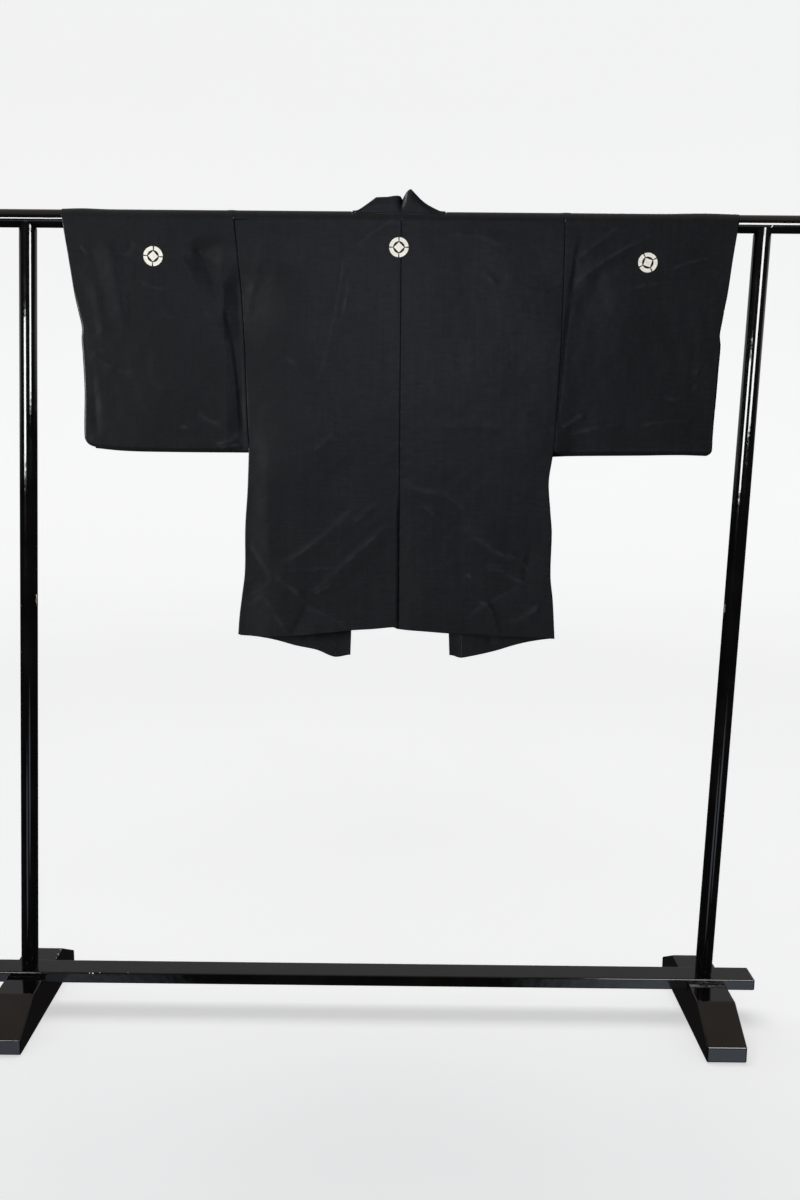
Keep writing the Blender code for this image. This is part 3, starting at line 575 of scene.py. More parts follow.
def sleeve_half(hand, x, z):
    """Half the gap inside a sleeve, which closes along its hem and its sewn outer edge."""
    drop = z - z_at(SLEEVE_HEM[hand], x)
    half = read(SLEEVE_HALF, "drop", "y", drop)
    inwards = np.abs(x - sleeve_edge(hand, z))
    closed = 1 - smooth((z - CUFF_Z[hand]) / CUFF_RISE)
    half = half * (1 - closed * (1 - read(EDGE_HALF, "inwards", "share", inwards)))
    near = np.exp(-(((x - body_side(hand, z)) / ARMHOLE_REACH) ** 2)) * smooth(drop / ARMHOLE_RISE)
    return near * read(SIDE_HALF[hand], "z", "y", z) + (1 - near) * half


def off_rail(x, z, half):
    """The cloth leaves the rail at its own radius and takes the layer's depth lower down."""
    share = smooth((rail_z(x) - z) / OFF_RAIL)
    return WRAP_R * (1 - share) + half * share


def layer_points(layer, x, z, half, relief):
    """Points on a layer. Folds never bring it closer to the middle than the least half."""
    out = half + fold_depth(layer, x, z) + relief
    shut = half < LEAST_HALF
    out = np.where(shut, half, np.maximum(out, np.minimum(half, LEAST_HALF)))
    return np.stack([x, layer * out, z], axis=-1)


def rail_bump(x):
    """Where the seam allowances and the cuffs lift the cloth a little off the rail."""
    total = np.zeros_like(x)
    for centre, width, lift in zip(*RAIL_BUMPS.values()):
        total += lift * np.exp(-(((x - centre) / width) ** 2))
    return total


def over_rail(x, degrees, radius=WRAP_R):
    """Points on the cloth over the rail. Degrees run from its top, and back is negative."""
    angle = np.radians(degrees)
    radius = radius + rail_bump(x) * np.cos(angle)
    return np.stack(
        np.broadcast_arrays(x, radius * np.sin(angle), rail_z(x) + radius * np.cos(angle)), axis=-1
    )


def material(name):
    """An empty node material and its shader."""
    made = bpy.data.materials.new(name)
    made.use_nodes = True
    return made, made.node_tree, made.node_tree.nodes["Principled BSDF"]


def feed(tree, made, inputs):
    """Give a node's inputs their values or sockets, by each input's name or number."""
    for key, value in inputs.items():
        if isinstance(value, bpy.types.NodeSocket):
            tree.links.new(value, made.inputs[key])
        else:
            made.inputs[key].default_value = value


def node(tree, kind, inputs=None, **settings):
    made = tree.nodes.new("ShaderNode" + kind)
    for name, value in settings.items():
        setattr(made, name, value)
    feed(tree, made, inputs or {})
    return made


def position(tree, stretch):
    """The place on the object in metres, stretched along its axes."""
    coordinates = node(tree, "TexCoord")
    inputs = {"Vector": coordinates.outputs["Object"], "Scale": stretch}
    return node(tree, "Mapping", inputs).outputs["Vector"]


def noise(tree, scale, detail=2.0, roughness=0.5, stretch=(1, 1, 1)):
    inputs = {"Scale": scale, "Detail": detail, "Roughness": roughness}
    inputs["Vector"] = position(tree, stretch)
    return node(tree, "TexNoise", inputs).outputs["Fac"]


def remap(tree, value, low, high, to_low=0, to_high=1):
    inputs = {"Value": value, "From Min": low, "From Max": high, "To Min": to_low, "To Max": to_high}
    return node(tree, "MapRange", inputs).outputs["Result"]


def math_node(tree, operation, a, b):
    return node(tree, "Math", {0: a, 1: b}, operation=operation).outputs[0]


def mixed(tree, share, a, b):
    """Colour a where share is 0 and colour b where it is 1."""
    made = node(tree, "Mix", {"Factor": share}, data_type="RGBA")
    for name, value in (("A", a), ("B", b)):
        socket = next(i for i in made.inputs if i.name == name and i.type == "RGBA")
        if isinstance(value, bpy.types.NodeSocket):
            tree.links.new(value, socket)
        else:
            socket.default_value = (*value, 1)
    return next(o for o in made.outputs if o.type == "RGBA")


def bump(tree, height, strength, distance, normal=None):
    inputs = {"Height": height, "Strength": strength, "Distance": distance}
    if normal is not None:
        inputs["Normal"] = normal
    return node(tree, "Bump", inputs).outputs["Normal"]


def silk():
    """Black plain-woven silk: uneven threads, faint lengthwise bands and a low bluish sheen."""
    made, tree, shader = material("silk")
    weft = noise(tree, 1, 3, 0.65, (26, 60, 420))
    warp = noise(tree, 1, 3, stretch=(150, 60, 7))
    mottle = noise(tree, 120, 4, 0.6, (1, 1, 1.2))
    cloud = noise(tree, 7, 3, stretch=(1, 1, 1.3))
    parts = [(weft, 0.40), (warp, 0.25), (mottle, 0.35)]
    weft_part, warp_part, mottle_part = (remap(tree, n, 0.3, 0.7, 0.0, most) for n, most in parts)
    threads = math_node(tree, "ADD", weft_part, math_node(tree, "ADD", warp_part, mottle_part))
    shade = math_node(tree, "MULTIPLY", threads, remap(tree, cloud, 0.35, 0.65, 0.70, 1.0))
    colour = mixed(tree, shade, (0.0059, 0.0061, 0.0067), (0.0146, 0.0150, 0.0162))
    # Lighter in patches along the back's sharp creases: partly rubbed silk, partly painted highlight.
    crease_wear_and_highlight_share = node(tree, "Attribute", attribute_name="worn").outputs["Fac"]
    patchy = remap(tree, noise(tree, 55, 2), 0.42, 0.60, 0.25, 1.0)
    rubbed = math_node(tree, "MULTIPLY", crease_wear_and_highlight_share, patchy)
    colour = mixed(tree, math_node(tree, "MULTIPLY", rubbed, 0.3), colour, (0.034, 0.035, 0.037))
    slubs = bump(tree, weft, 0.30, 0.0006)
    limp = noise(tree, 60, 2)
    looks = {
        "Base Color": colour,
        "Roughness": remap(tree, threads, 0.0, 1.0, 0.39, 0.30),
        "Specular IOR Level": 0.155,
        "Sheen Weight": 0.03,
        "Sheen Roughness": 0.42,
        "Sheen Tint": (0.62, 0.72, 0.84, 1),
        "Normal": bump(tree, limp, 0.22, 0.0012, slubs),
    }
    feed(tree, shader, looks)
    return made


def crest_dye():
    """Undyed off-white silk, with the same threads."""
    made, tree, shader = material("crest_dye")
    weft = noise(tree, 1, 3, stretch=(9, 60, 900))
    blot = noise(tree, 160, 3)
    threads, blots = remap(tree, weft, 0.3, 0.7, 0, 0.5), remap(tree, blot, 0.35, 0.65, 0, 0.5)
    share = math_node(tree, "ADD", threads, blots)
    looks = {
        "Base Color": mixed(tree, share, (0.66, 0.61, 0.52), (0.87, 0.83, 0.75)),
        "Roughness": 0.62,
        "Specular IOR Level": 0.3,
        "Normal": bump(tree, weft, 0.3, 0.0004),
    }
    feed(tree, shader, looks)
    return made


def lacquer(name, chips=()):
    """Polished black lacquer with faint rubbed patches.

    Each chip is a place, a radius and how many times taller than wide it is, in cm.
    """
    made, tree, shader = material(name)
    cloud = noise(tree, 11, 4)
    dust = noise(tree, 900, 1)
    rubbed = remap(tree, cloud, 0.42, 0.72)
    colour = mixed(tree, rubbed, (0.0018, 0.0016, 0.0016), (0.0040, 0.0036, 0.0033))
    dusty = remap(tree, dust, 0.60, 0.72, 0.0, 0.04)
    rough = math_node(tree, "ADD", remap(tree, rubbed, 0, 1, 0.05, 0.10), dusty)
    if chips:
        ragged = noise(tree, 420, 2)
        place = node(tree, "TexCoord").outputs["Object"]
        worn = 0.0
        for x, y, z, radius, tall in chips:
            shift = {"Location": [-x * CM, -y * CM, -z * CM / tall], "Scale": [1, 1, 1 / tall]}
            squeeze = node(tree, "Mapping", {"Vector": place, **shift}).outputs["Vector"]
            away = node(tree, "VectorMath", {0: squeeze}, operation="LENGTH")
            edge = remap(tree, ragged, 0.30, 0.70, 0.2 * radius * CM, 1.4 * radius * CM)
            inside = math_node(tree, "LESS_THAN", away.outputs["Value"], edge)
            worn = math_node(tree, "MAXIMUM", inside, worn)
        colour = mixed(tree, worn, colour, (0.50, 0.43, 0.33))
        rough = math_node(tree, "MAXIMUM", rough, math_node(tree, "MULTIPLY", worn, 0.7))
    waves = noise(tree, 34, 2)
    normal = bump(tree, waves, 0.14, 0.0015)
    feed(tree, shader, {"Base Color": colour, "Roughness": rough, "Normal": normal})
    return made


def stage_paint(name, middle, near, far, glow_near, glow_far):
    """A pale matt paint, which glows so that it stays pale far from the lights.

    The glow goes from one strength to the other between two distances from a middle in Y.
    """
    made, tree, shader = material(name)
    cloud = noise(tree, 1.6, 3)
    colour = mixed(tree, remap(tree, cloud, 0.3, 0.7), (0.80, 0.80, 0.80), (0.82, 0.82, 0.82))
    places = {0: position(tree, (1, 1, 0)), 1: (0, middle, 0)}
    reach = node(tree, "VectorMath", places, operation="DISTANCE").outputs["Value"]
    looks = {
        "Base Color": colour,
        "Roughness": 0.6,
        "Specular IOR Level": 0.2,
        "Emission Color": (1.0, 1.0, 1.0, 1),
        "Emission Strength": remap(tree, reach, near, far, glow_near, glow_far),
    }
    feed(tree, shader, looks)
    return made


def add_object(name, bm, finish, smooth_below=None):
    mesh = bpy.data.meshes.new(name)
    bm.to_mesh(mesh)
    bm.free()
    mesh.materials.append(finish)
    made = bpy.data.objects.new(name, mesh)
    bpy.context.scene.collection.objects.link(made)
    mesh.shade_smooth()
    if smooth_below is not None:
        mesh.set_sharp_from_angle(angle=math.radians(smooth_below))
    return made


def quads(bm, rows, closed=False):
    """Faces between neighbouring rows of points. Closed rows run on to their first point."""
    made = [[bm.verts.new(point) for point in row] for row in rows]
    for above, below in zip(made[:-1], made[1:]):
        for i in range(len(above) - (not closed)):
            j = (i + 1) % len(above)
            bm.faces.new((above[i], above[j], below[j], below[i]))
    return made


def sewn_grid(points, shown=None, welds=None):
    """A mesh of quads over a grid of points, where shown says which points have cloth.

    welds maps a grid place to its twin, so that sewn edges share their points.
    """
    rows, columns, _ = points.shape
    bm = bmesh.new()
    shown = np.ones((rows, columns), bool) if shown is None else shown
    welds = welds or {}
    made = {}
    for i in range(rows):
        for j in range(columns):
            if shown[i, j] and (i, j) not in welds:
                made[i, j] = bm.verts.new(points[i, j])
    for place, twin in welds.items():
        made[place] = made[twin]
    for i in range(rows - 1):
        for j in range(columns - 1):
            places = ((i, j), (i, j + 1), (i + 1, j + 1), (i + 1, j))
            if all(place in made for place in places):
                corners = list(dict.fromkeys(made[place] for place in places))
                if len(corners) > 2:
                    bm.faces.new(corners)
    bmesh.ops.recalc_face_normals(bm, faces=bm.faces)
    return bm


def cloth(name, finish, points, thickness=CLOTH, shown=None, welds=None):
    """A thin shell on a grid of points, with its creases' wear and painted highlight."""
    piece = add_object(name, sewn_grid(points, shown, welds), finish)
    mesh = piece.data
    places = np.empty(3 * len(mesh.vertices), np.float32)
    mesh.vertices.foreach_get("co", places)
    x, y, z = places.reshape(-1, 3).astype(float).T
    # The back's sharp creases are painted lighter: partly wear, partly painted highlight.
    worn = mesh.attributes.new("worn", "FLOAT", "POINT")
    worn.data.foreach_set("value", np.where(y < 0, crease_wear_and_highlight(x, z), 0).astype(np.float32))
    wall = piece.modifiers.new("wall", "SOLIDIFY")
    wall.thickness = thickness
    wall.offset = 0
    wall.use_rim = True
    return piece


def steps(length, step=STEP):
    """How many of the grid's steps a length takes."""
    return max(2, round(length / step))


def eased(count):
    """Fractions from 0 to 1, closer together near both ends."""
    t = np.linspace(0, 1, count + 1)
    return t - GRID_EASE * np.sin(2 * math.pi * t)


def arc_heights():
    """Rows from the rail's top round to its side: degrees from the top, and heights."""
    degrees = np.linspace(0, 90, ARC_ROWS + 1)[:, None]
    return degrees, RAIL_Z + WRAP_R * np.cos(np.radians(degrees))


def body_panel(hand, finish):
    """One body panel: up the back, over the rail and down the front, with the neck cut out."""
    turn = TURN[hand]
    seam = turn * SEAM_GAP / 2
    neck_x = NECK_LEFT if hand == "left" else NECK_RIGHT
    to_neck = eased(steps(BODY_GRID["to_neck"]))
    to_centre = eased(steps(BODY_GRID["to_centre"]))[1:]
    outer = len(to_neck)
    t = np.concatenate([to_neck, to_centre])[None, :]
    by_side = np.arange(t.shape[1])[None, :] < outer

    def across(side, neck, centre):
        """Places from the side to the neck's edge, and on from there to the centre."""
        return np.where(by_side, side + (neck - side) * t, neck + (centre - neck) * t)

    def hanging(layer):
        """Rows from just under the rail down to the hem, closer together on the back."""
        hem = BACK_HEM if layer == BACK else FRONT_HEM
        drop = eased(steps(BODY_GRID["down"], STEP if layer == BACK else 2 * STEP))[1:, None]
        z = np.broadcast_to(rail_z(0) - drop * BODY_GRID["guess"], (len(drop), t.shape[1])).copy()
        for _ in range(SETTLING):
            side = body_side(hand, z) + seam
            if layer == BACK:
                in_armhole = smooth((z - ARMHOLE[hand]["z"][0]) / LAP_FADE)
                side = side - turn * SEAM_LAP * in_armhole
                inner = np.full_like(z, neck_x)
                centre = x_at(CENTRE_SEAM, z) + turn * SEAM_LAP
            else:
                inner = x_at(FRONT_SEAM[hand], z) - seam
                centre = inner
            x = across(side, inner, centre)
            z = hung(hem, x, drop)
        half = off_rail(x, z, body_half(hand, x, z))
        from_side = np.abs(x - side)
        relief = seam_roll(from_side) + pucker(from_side, z, 1.3 * turn)
        if layer == BACK:
            from_centre = np.abs(x - centre)
            if hand == "left":
                relief += in_armhole * sunk_roll(from_side, "armhole_left") + seam_roll(from_centre)
            else:
                relief += sunk_roll(from_centre, "centre")
            relief += pucker(from_centre, z, 4.0 + turn)
            hem_lift = z - z_at(hem, x)
            relief += 0.5 * pucker(hem_lift, x, 2.2)
        else:
            from_band = np.abs(x - inner)
            relief += 0.6 * seam_roll(from_band)
        z = z + hem_ripple(x, drop)
        return layer_points(layer, x, z, half, relief)

    def arc(layer):
        degrees, z = arc_heights()
        x = across(body_side(hand, z) + seam, neck_x, x_at(CENTRE_SEAM, z) - seam)
        return over_rail(x, layer * degrees), np.broadcast_to(degrees, x.shape)

    back, front = hanging(BACK), hanging(FRONT)
    arc_back, degrees = arc(BACK)
    arc_front, _ = arc(FRONT)
    points = np.concatenate([back[::-1], arc_back[::-1], arc_front[1:], front])
    shown = np.ones(points.shape[:2], bool)
    middle = slice(outer, None)
    first = len(back)
    below_neck = degrees[::-1] >= NECK_ANGLE - NECK_TURNING
    shown[first : first + ARC_ROWS + 1, middle] = below_neck[:, middle]
    shown[first + ARC_ROWS + 1 :, middle] = False
    piece = cloth(f"silk_body_{hand}", finish, points, shown=shown)
    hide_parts(f"body_{hand}")
    return piece


def hem_ripple(x, drop):
    """The hem's own small waves, which fade out a hand's width above it."""
    wave = np.sin(x / HEM_WAVES[0]) + 0.6 * np.sin(x / HEM_WAVES[1] + 1.0)
    return HEM_RIPPLE * wave * smooth((drop - HEM_FROM) / (1 - HEM_FROM))


def sleeve(hand, finish):
    """A sleeve: closed along its hem and its lower outer edge, open at cuff and armhole."""
    turn = TURN[hand]
    seam = -turn * SEAM_GAP / 2
    shares = eased(steps(SLEEVE_GRID["across"]))
    drops = eased(steps(SLEEVE_GRID["down"]))[1:]
    phase = 0.7 if hand == "left" else 2.9

    def hanging(layer):
        drop, share = drops[:, None], shares[None, :]
        z = np.broadcast_to(RAIL_Z - SLEEVE_GRID["guess"] * drop, (len(drops), len(shares))).copy()
        for _ in range(SLEEVE_SETTLING):
            inner = body_side(hand, z) + (turn * SEAM_LAP if layer == BACK else seam)
            if layer == BACK:
                foot = 1 - smooth((z - ARMHOLE[hand]["z"][0]) / FOOT_REACH)
                inner = inner + turn * FOOT_TUCK * foot
            x = inner + (sleeve_edge(hand, z) - inner) * share
            z = hung(SLEEVE_HEM[hand], x, drop)
        half = off_rail(x, z, sleeve_half(hand, x, z))
        from_armhole = np.abs(x - inner)
        relief = seam_roll(from_armhole) + pucker(from_armhole, z, phase)
        if layer == BACK and hand == "right":
            relief += sunk_roll(from_armhole, "armhole_right")
        lift = z - z_at(SLEEVE_HEM[hand], x)
        relief += 0.6 * pucker(lift, x, phase + 1.0)
        from_edge = np.abs(x - sleeve_edge(hand, z))
        relief += 0.7 * pucker(from_edge, z, phase + 2.0)
        shut = np.zeros(x.shape, bool)
        shut[-1, :] = True
        shut[:, -1] |= z[:, -1] < CUFF_Z[hand]
        half = np.where(shut, 0.0, np.maximum(half, OPEN_HALF))
        sewn_below = z < CUFF_Z[hand] + CUFF_SEWN
        to_seam = np.minimum(lift, np.where(sewn_below, from_edge, 1))
        out = half + (fold_depth(layer, x, z) + relief) * smooth(to_seam / CALM_REACH)
        least = np.minimum(half, LEAST_HALF)
        return np.stack([x, layer * np.maximum(out, least), z], axis=-1), shut

    def arc(layer):
        degrees, z = arc_heights()
        inner = body_side(hand, z) + seam
        return over_rail(inner + (sleeve_edge(hand, z) - inner) * shares[None, :], layer * degrees)

    back, shut = hanging(BACK)
    front, _ = hanging(FRONT)
    points = np.concatenate([back[::-1], arc(BACK)[::-1], arc(FRONT)[1:], front])
    last, outer = len(points) - 1, len(shares) - 1
    welds = {(last, j): (0, j) for j in range(len(shares))}
    for i in range(1, len(drops)):
        if shut[::-1][i, outer]:
            welds[last - i, outer] = (i, outer)
    piece = cloth(f"silk_sleeve_{hand}", finish, points, welds=welds)
    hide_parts(f"sleeve_{hand}")
    return piece


def gusset(hand, finish):
    """The side panel between back and front, which folds inwards as it widens."""
    inwards = TURN[hand]
    top = ARMHOLE[hand]["z"][0] - GUSSET_DROP
    side_x = BODY_SIDE[hand]["x"][1]
    back_hem, front_hem = (z_at(hem, side_x) for hem in (BACK_HEM, FRONT_HEM))
    mean = (back_hem + front_hem) / 2
    down = np.linspace(0, 1, steps(GUSSET_GRID["down"]))[:, None]
    across = np.linspace(-1, 1, GUSSET_GRID["points"])[None, :]
    low = mean + (np.where(across < 0, back_hem, front_hem) - mean) * np.abs(across)
    z = top + (low - top) * down
    x = body_side(hand, z) + inwards * CLOTH
    half = body_half(hand, x, z) - CLOTH / 2
    half = half + np.where(across < 0, fold_depth(BACK, x, z), fold_depth(FRONT, x, z))
    half = np.maximum(half, LEAST_HALF)
    waves = np.sin(down * GUSSET_WAVES + 2 * across)
    crease = GUSSET_CREASE * waves * smooth(4 * down) * (1 - across**2)
    dip = GUSSET_DIP * smooth(down) * (1 - np.abs(across) ** 1.6) + crease
    y = half * across
    points = np.stack(np.broadcast_arrays(x + inwards * dip, y, z), axis=-1)
    piece = cloth(f"silk_gusset_{hand}", finish, points)
    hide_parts(f"gusset_{hand}")
    return piece


def neck_stations():
    """The neck table, read smoothly with several rows between two stations."""
    count = len(NECK["angle"])
    at = np.linspace(0, count - 1, (count - 1) * NECK_STATION_ROWS + 1)
    rows = {"at": np.arange(count, dtype=float), **NECK}
    return {name: read(rows, "at", name, at) for name in NECK}


def collar(finish):
    """The collar band: up one front edge, round the neck and down the other."""
    shares = np.linspace(0, 1, COLLAR_FACES + 1)[None, :]
    stations = neck_stations()
    angle, sewn_x, free_x, free_y, free_z = (stations[name][:, None] for name in NECK)
    foot = over_rail(sewn_x, angle, COLLAR_SEWN_R)
    tip = np.stack([free_x, free_y, rail_z(free_x) + free_z], axis=-1)
    round_neck = foot + (tip - foot) * shares[..., None]
    turned = np.cos(np.radians(2 * np.minimum(np.abs(angle), 45)))
    sag = COLLAR_HOLLOW * np.maximum(tip[..., 2] - foot[..., 2], 0) * turned
    round_neck[..., 2] -= sag * np.sin(math.pi * shares)
    round_neck[..., 1] -= COLLAR_BOW * np.sin(math.pi * shares) ** 2

    def falling(hand, station):
        """Rows beside one front edge, from the rail down to the hem."""
        drop = eased(steps(COLLAR_GRID["down"], 1.5 * STEP))[1:, None]
        turn = TURN[hand]
        z = np.broadcast_to(RAIL_Z - COLLAR_GRID["guess"] * drop, (len(drop), shares.shape[1])).copy()
        for _ in range(SETTLING):
            sewn = x_at(FRONT_SEAM[hand], z) + turn * SEAM_GAP / 2
            x = sewn + (x_at(FRONT_EDGE[hand], z) - sewn) * shares
            z = hung(FRONT_HEM, x, drop)
        unsettled = 1 - smooth(COLLAR_SETTLES * drop)
        relief = COLLAR_SWELL * np.sin(math.pi * shares) ** 0.6
        relief = relief + 0.5 * pucker(np.abs(x - sewn), z, turn)
        relief = relief + COLLAR_TUCK * (1 - unsettled)
        points = layer_points(FRONT, x, z, off_rail(x, z, body_half(hand, x, z)), relief)
        points[..., 1] += (stations["free_y"][station] - WRAP_R) * shares * unsettled
        points[..., 2] += stations["free_z"][station] * shares * unsettled
        points[..., 2] += hem_ripple(x, drop)
        return points

    points = np.concatenate([falling("left", 0)[::-1], round_neck, falling("right", -1)])
    piece = cloth("silk_collar", finish, points, COLLAR_CLOTH)
    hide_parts("collar")
    return piece


def back_surface(x, z):
    """Points just off the back's outer face, for what is dyed on it."""
    in_body = (x > body_side("left", z)) & (x < body_side("right", z))
    half = np.zeros_like(x)
    for hand in HANDS:
        mine = (x < 0) if hand == "left" else (x >= 0)
        half = np.where(mine & in_body, body_half(hand, x, z), half)
        half = np.where(mine & ~in_body, sleeve_half(hand, x, z), half)
    return layer_points(BACK, x, z, off_rail(x, z, half) + CREST_LIFT, 0)


def crest(name, finish):
    """A plain diamond within four broad arcs."""
    centre_x, centre_z, turned = CRESTS[name]
    bm = bmesh.new()

    def patch(u, v):
        """A patch of the crest from a grid of places in its own plane, where its radius is 1."""
        angle = math.radians(turned)
        x = centre_x + CREST_R * (u * math.cos(angle) - v * math.sin(angle))
        z = centre_z + CREST_R * (u * math.sin(angle) + v * math.cos(angle))
        quads(bm, back_surface(x, z))

    band = np.linspace(*CREST_BAND, CREST_POINTS["band"])[:, None]
    for quarter in range(4):
        degrees = 90 * quarter + np.linspace(*CREST_ARC, CREST_POINTS["arc"])
        arc = np.radians(degrees)[None, :]
        patch(band * np.cos(arc), band * np.sin(arc))
    side = np.linspace(-CREST_DIAMOND, CREST_DIAMOND, CREST_POINTS["diamond"])
    patch(side[:, None] + side[None, :], side[:, None] - side[None, :])
    bmesh.ops.remove_doubles(bm, verts=bm.verts, dist=0.002 * CM)
    bmesh.ops.recalc_face_normals(bm, faces=bm.faces)
    if sum(face.normal.y for face in bm.faces) > 0:
        bmesh.ops.reverse_faces(bm, faces=bm.faces)
    piece = add_object(name, bm, finish)
    return piece


def bar(name, rings, finish, smooth_below=None):
    """A closed bar through rings of points, each with as many points as the others."""
    bm = bmesh.new()
    made = quads(bm, rings, closed=True)
    bm.faces.new(reversed(made[0]))
    bm.faces.new(made[-1])
    bmesh.ops.recalc_face_normals(bm, faces=bm.faces)
    return add_object(name, bm, finish, smooth_below)


def rail(finish):
    """The rail, with rounded ends."""
    angles = np.radians(np.linspace(0, 90, 6))
    cut = [(RAIL_EASE * (1 - math.sin(a)), RAIL_EASE * (1 - math.cos(a))) for a in angles]
    ends = [(RAIL_LENGTH / 2 - back, RAIL_R - inwards) for back, inwards in cut]
    profile = [(-x, r) for x, r in reversed(ends)] + ends
    rings = [
        [(x, r * math.cos(a), RAIL_Z + r * math.sin(a) + x * RAIL_RISE) for a in FULL_TURN]
        for x, r in profile
    ]
    piece = bar("lacquer_rail", rings, finish, ROUND_BELOW)
    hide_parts("rail")
    return piece


def post_foot_x(hand):
    """Where a post stands on the stretcher, from its lean and its place under the rail."""
    top_x = -TURN[hand] * POST_SPACING / 2
    return top_x - (RAIL_Z - STRETCHER_TOP) * POST_LEAN


def post(hand, finish):
    """A leaning post whose top is hollowed out to take the rail."""
    foot_x, foot_z = post_foot_x(hand), STRETCHER_TOP + SEAT_GAP
    saddle_r = RAIL_R + SEAT_GAP
    rings = []
    for share in POST_RINGS:
        ring = []
        ease = POST_EASE if share in (0.0, 1.0) else 0.0
        for angle in FULL_TURN:
            x, y = ((POST_R - ease) * f(angle) for f in (math.cos, math.sin))
            top = rail_z(foot_x + (RAIL_Z - foot_z) * POST_LEAN + x)
            top -= max(math.sqrt(max(saddle_r**2 - y**2, 0)), POST_TOP_DROP)
            z = foot_z + (top - foot_z) * share
            ring.append((foot_x + x + (z - foot_z) * POST_LEAN, y, z))
        rings.append(ring)
    piece = bar(f"lacquer_post_{hand}", rings, finish, ROUND_BELOW)
    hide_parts(f"post_{hand}")
    return piece


def board(name, outline, x, width, finish):
    """A board whose outline in Y and Z is swept along X, with its edges rounded over."""
    ends = (x - width / 2, x + width / 2)
    piece = bar(name, [[(end, y, z) for y, z in outline] for end in ends], finish)
    bevel = piece.modifiers.new("eased_edges", "BEVEL")
    bevel.width = WOOD_BEVEL
    bevel.segments = 4
    bevel.limit_method = "ANGLE"
    bevel.angle_limit = math.radians(20)
    bevel.harden_normals = True
    return piece


def foot(hand, finish):
    """A foot with sloped ends and a lap across its top that takes the stretcher."""
    lap = STRETCHER_WIDTH / 2 + SEAT_GAP
    lap_z = STRETCHER_TOP - STRETCHER_THICK - SEAT_GAP
    half = [
        (lap, lap_z),
        (lap, FOOT_TOP),
        (FOOT_FLAT_LENGTH / 2, FOOT_TOP),
        (FOOT_LENGTH / 2, FOOT_END_HEIGHT),
        (FOOT_LENGTH / 2, 0),
    ]
    outline = half + [(-y, z) for y, z in reversed(half)]
    piece = board(f"lacquer_foot_{hand}", outline, post_foot_x(hand), FOOT_WIDTH, finish)
    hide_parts(f"foot_{hand}")
    return piece


def stretcher(finish):
    y, low = STRETCHER_WIDTH / 2, STRETCHER_TOP - STRETCHER_THICK
    outline = [(-y, low), (-y, STRETCHER_TOP), (y, STRETCHER_TOP), (y, low)]
    middle = (post_foot_x("left") + post_foot_x("right")) / 2
    piece = board("lacquer_stretcher", outline, middle, STRETCHER_LENGTH, finish)
    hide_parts("stretcher")
    return piece


# Places where the lacquer has chipped: x, y, z and radius in cm, and height over width
STRETCHER_CHIPS = (
    (-62.2, -3.1, 8.95, 0.26, 1), (-62.9, -3.1, 9.0, 0.14, 1), (-60.7, -3.0, 9.1, 0.16, 1),
    (-54.8, -3.0, 9.1, 0.14, 1),
)
FOOT_CHIPS = ((-72.4, 8.2, 8.05, 0.32, 1), (-72.6, 10.3, 8.1, 0.2, 1), (-72.4, 6.4, 7.95, 0.2, 1))
RAIL_CHIPS = ((73.6, -1.62, 164.5, 0.22, 1.8),)
POST_CHIPS = {
    "left": ((-72.5, -0.5, 88.5, 0.24, 6), (-75.6, -1.2, 87.3, 0.08, 1)),
    "right": ((68.6, -0.4, 88.6, 0.22, 5),),
}


def stand():
    plain = lacquer("lacquer")
    pieces = [rail(lacquer("lacquer_rail_finish", RAIL_CHIPS))]
    pieces.append(stretcher(lacquer("lacquer_stretcher_finish", STRETCHER_CHIPS)))
    for hand in HANDS:
        pieces.append(post(hand, lacquer(f"lacquer_post_{hand}_finish", POST_CHIPS[hand])))
        worn = lacquer("lacquer_foot_finish", FOOT_CHIPS) if hand == "left" else plain
        pieces.append(foot(hand, worn))
    for piece in pieces:
        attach(piece, "root")
    return pieces


def jacket():
    """The jacket's pieces and its crests, each attached to the root."""
    finish = silk()
    on_rail = ["lacquer_rail"]
    cuts = [(collar(finish), (0.032, 2.02), None, ["silk_body_left", "silk_body_right"])]
    for hand in HANDS:
        bodies = [f"silk_body_{hand}"]
        cuts.append((body_panel(hand, finish), (0.335, 1.76), 0.50, on_rail))
        cuts.append((sleeve(hand, finish), (0.335, 0.985), None, on_rail))
        cuts.append((gusset(hand, finish), (0.075, 0.375), 0.018, bodies))
    for piece, flat, area, rests_on in cuts:
        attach(piece, "root")
    dye = crest_dye()
    crests = [crest(name, dye) for name in CRESTS]
    for piece in crests:
        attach(piece, "root")
    return [piece for piece, *_ in cuts] + crests


# Camera: eye, heading and framing
EYE = Vector((0, -2.54, 1.268))
PITCH, YAW, ROLL = math.radians(8.39), math.radians(0.41), math.radians(0.82)
LENS, SENSOR = 37.5, 36.0


def camera():
    forward = Vector(
        (math.sin(YAW) * math.cos(PITCH), math.cos(YAW) * math.cos(PITCH), -math.sin(PITCH))
    )
    level = Vector((math.cos(YAW), -math.sin(YAW), 0))
    upward = level.cross(forward)
    right = math.cos(ROLL) * level + math.sin(ROLL) * upward
    up = -math.sin(ROLL) * level + math.cos(ROLL) * upward
    data = bpy.data.cameras.new("camera")
    data.lens = LENS
    data.sensor_width = SENSOR
    made = bpy.data.objects.new("camera", data)
    bpy.context.scene.collection.objects.link(made)
    made.matrix_world = Matrix.Translation(EYE) @ Matrix((right, up, -forward)).transposed().to_4x4()
    bpy.context.scene.camera = made


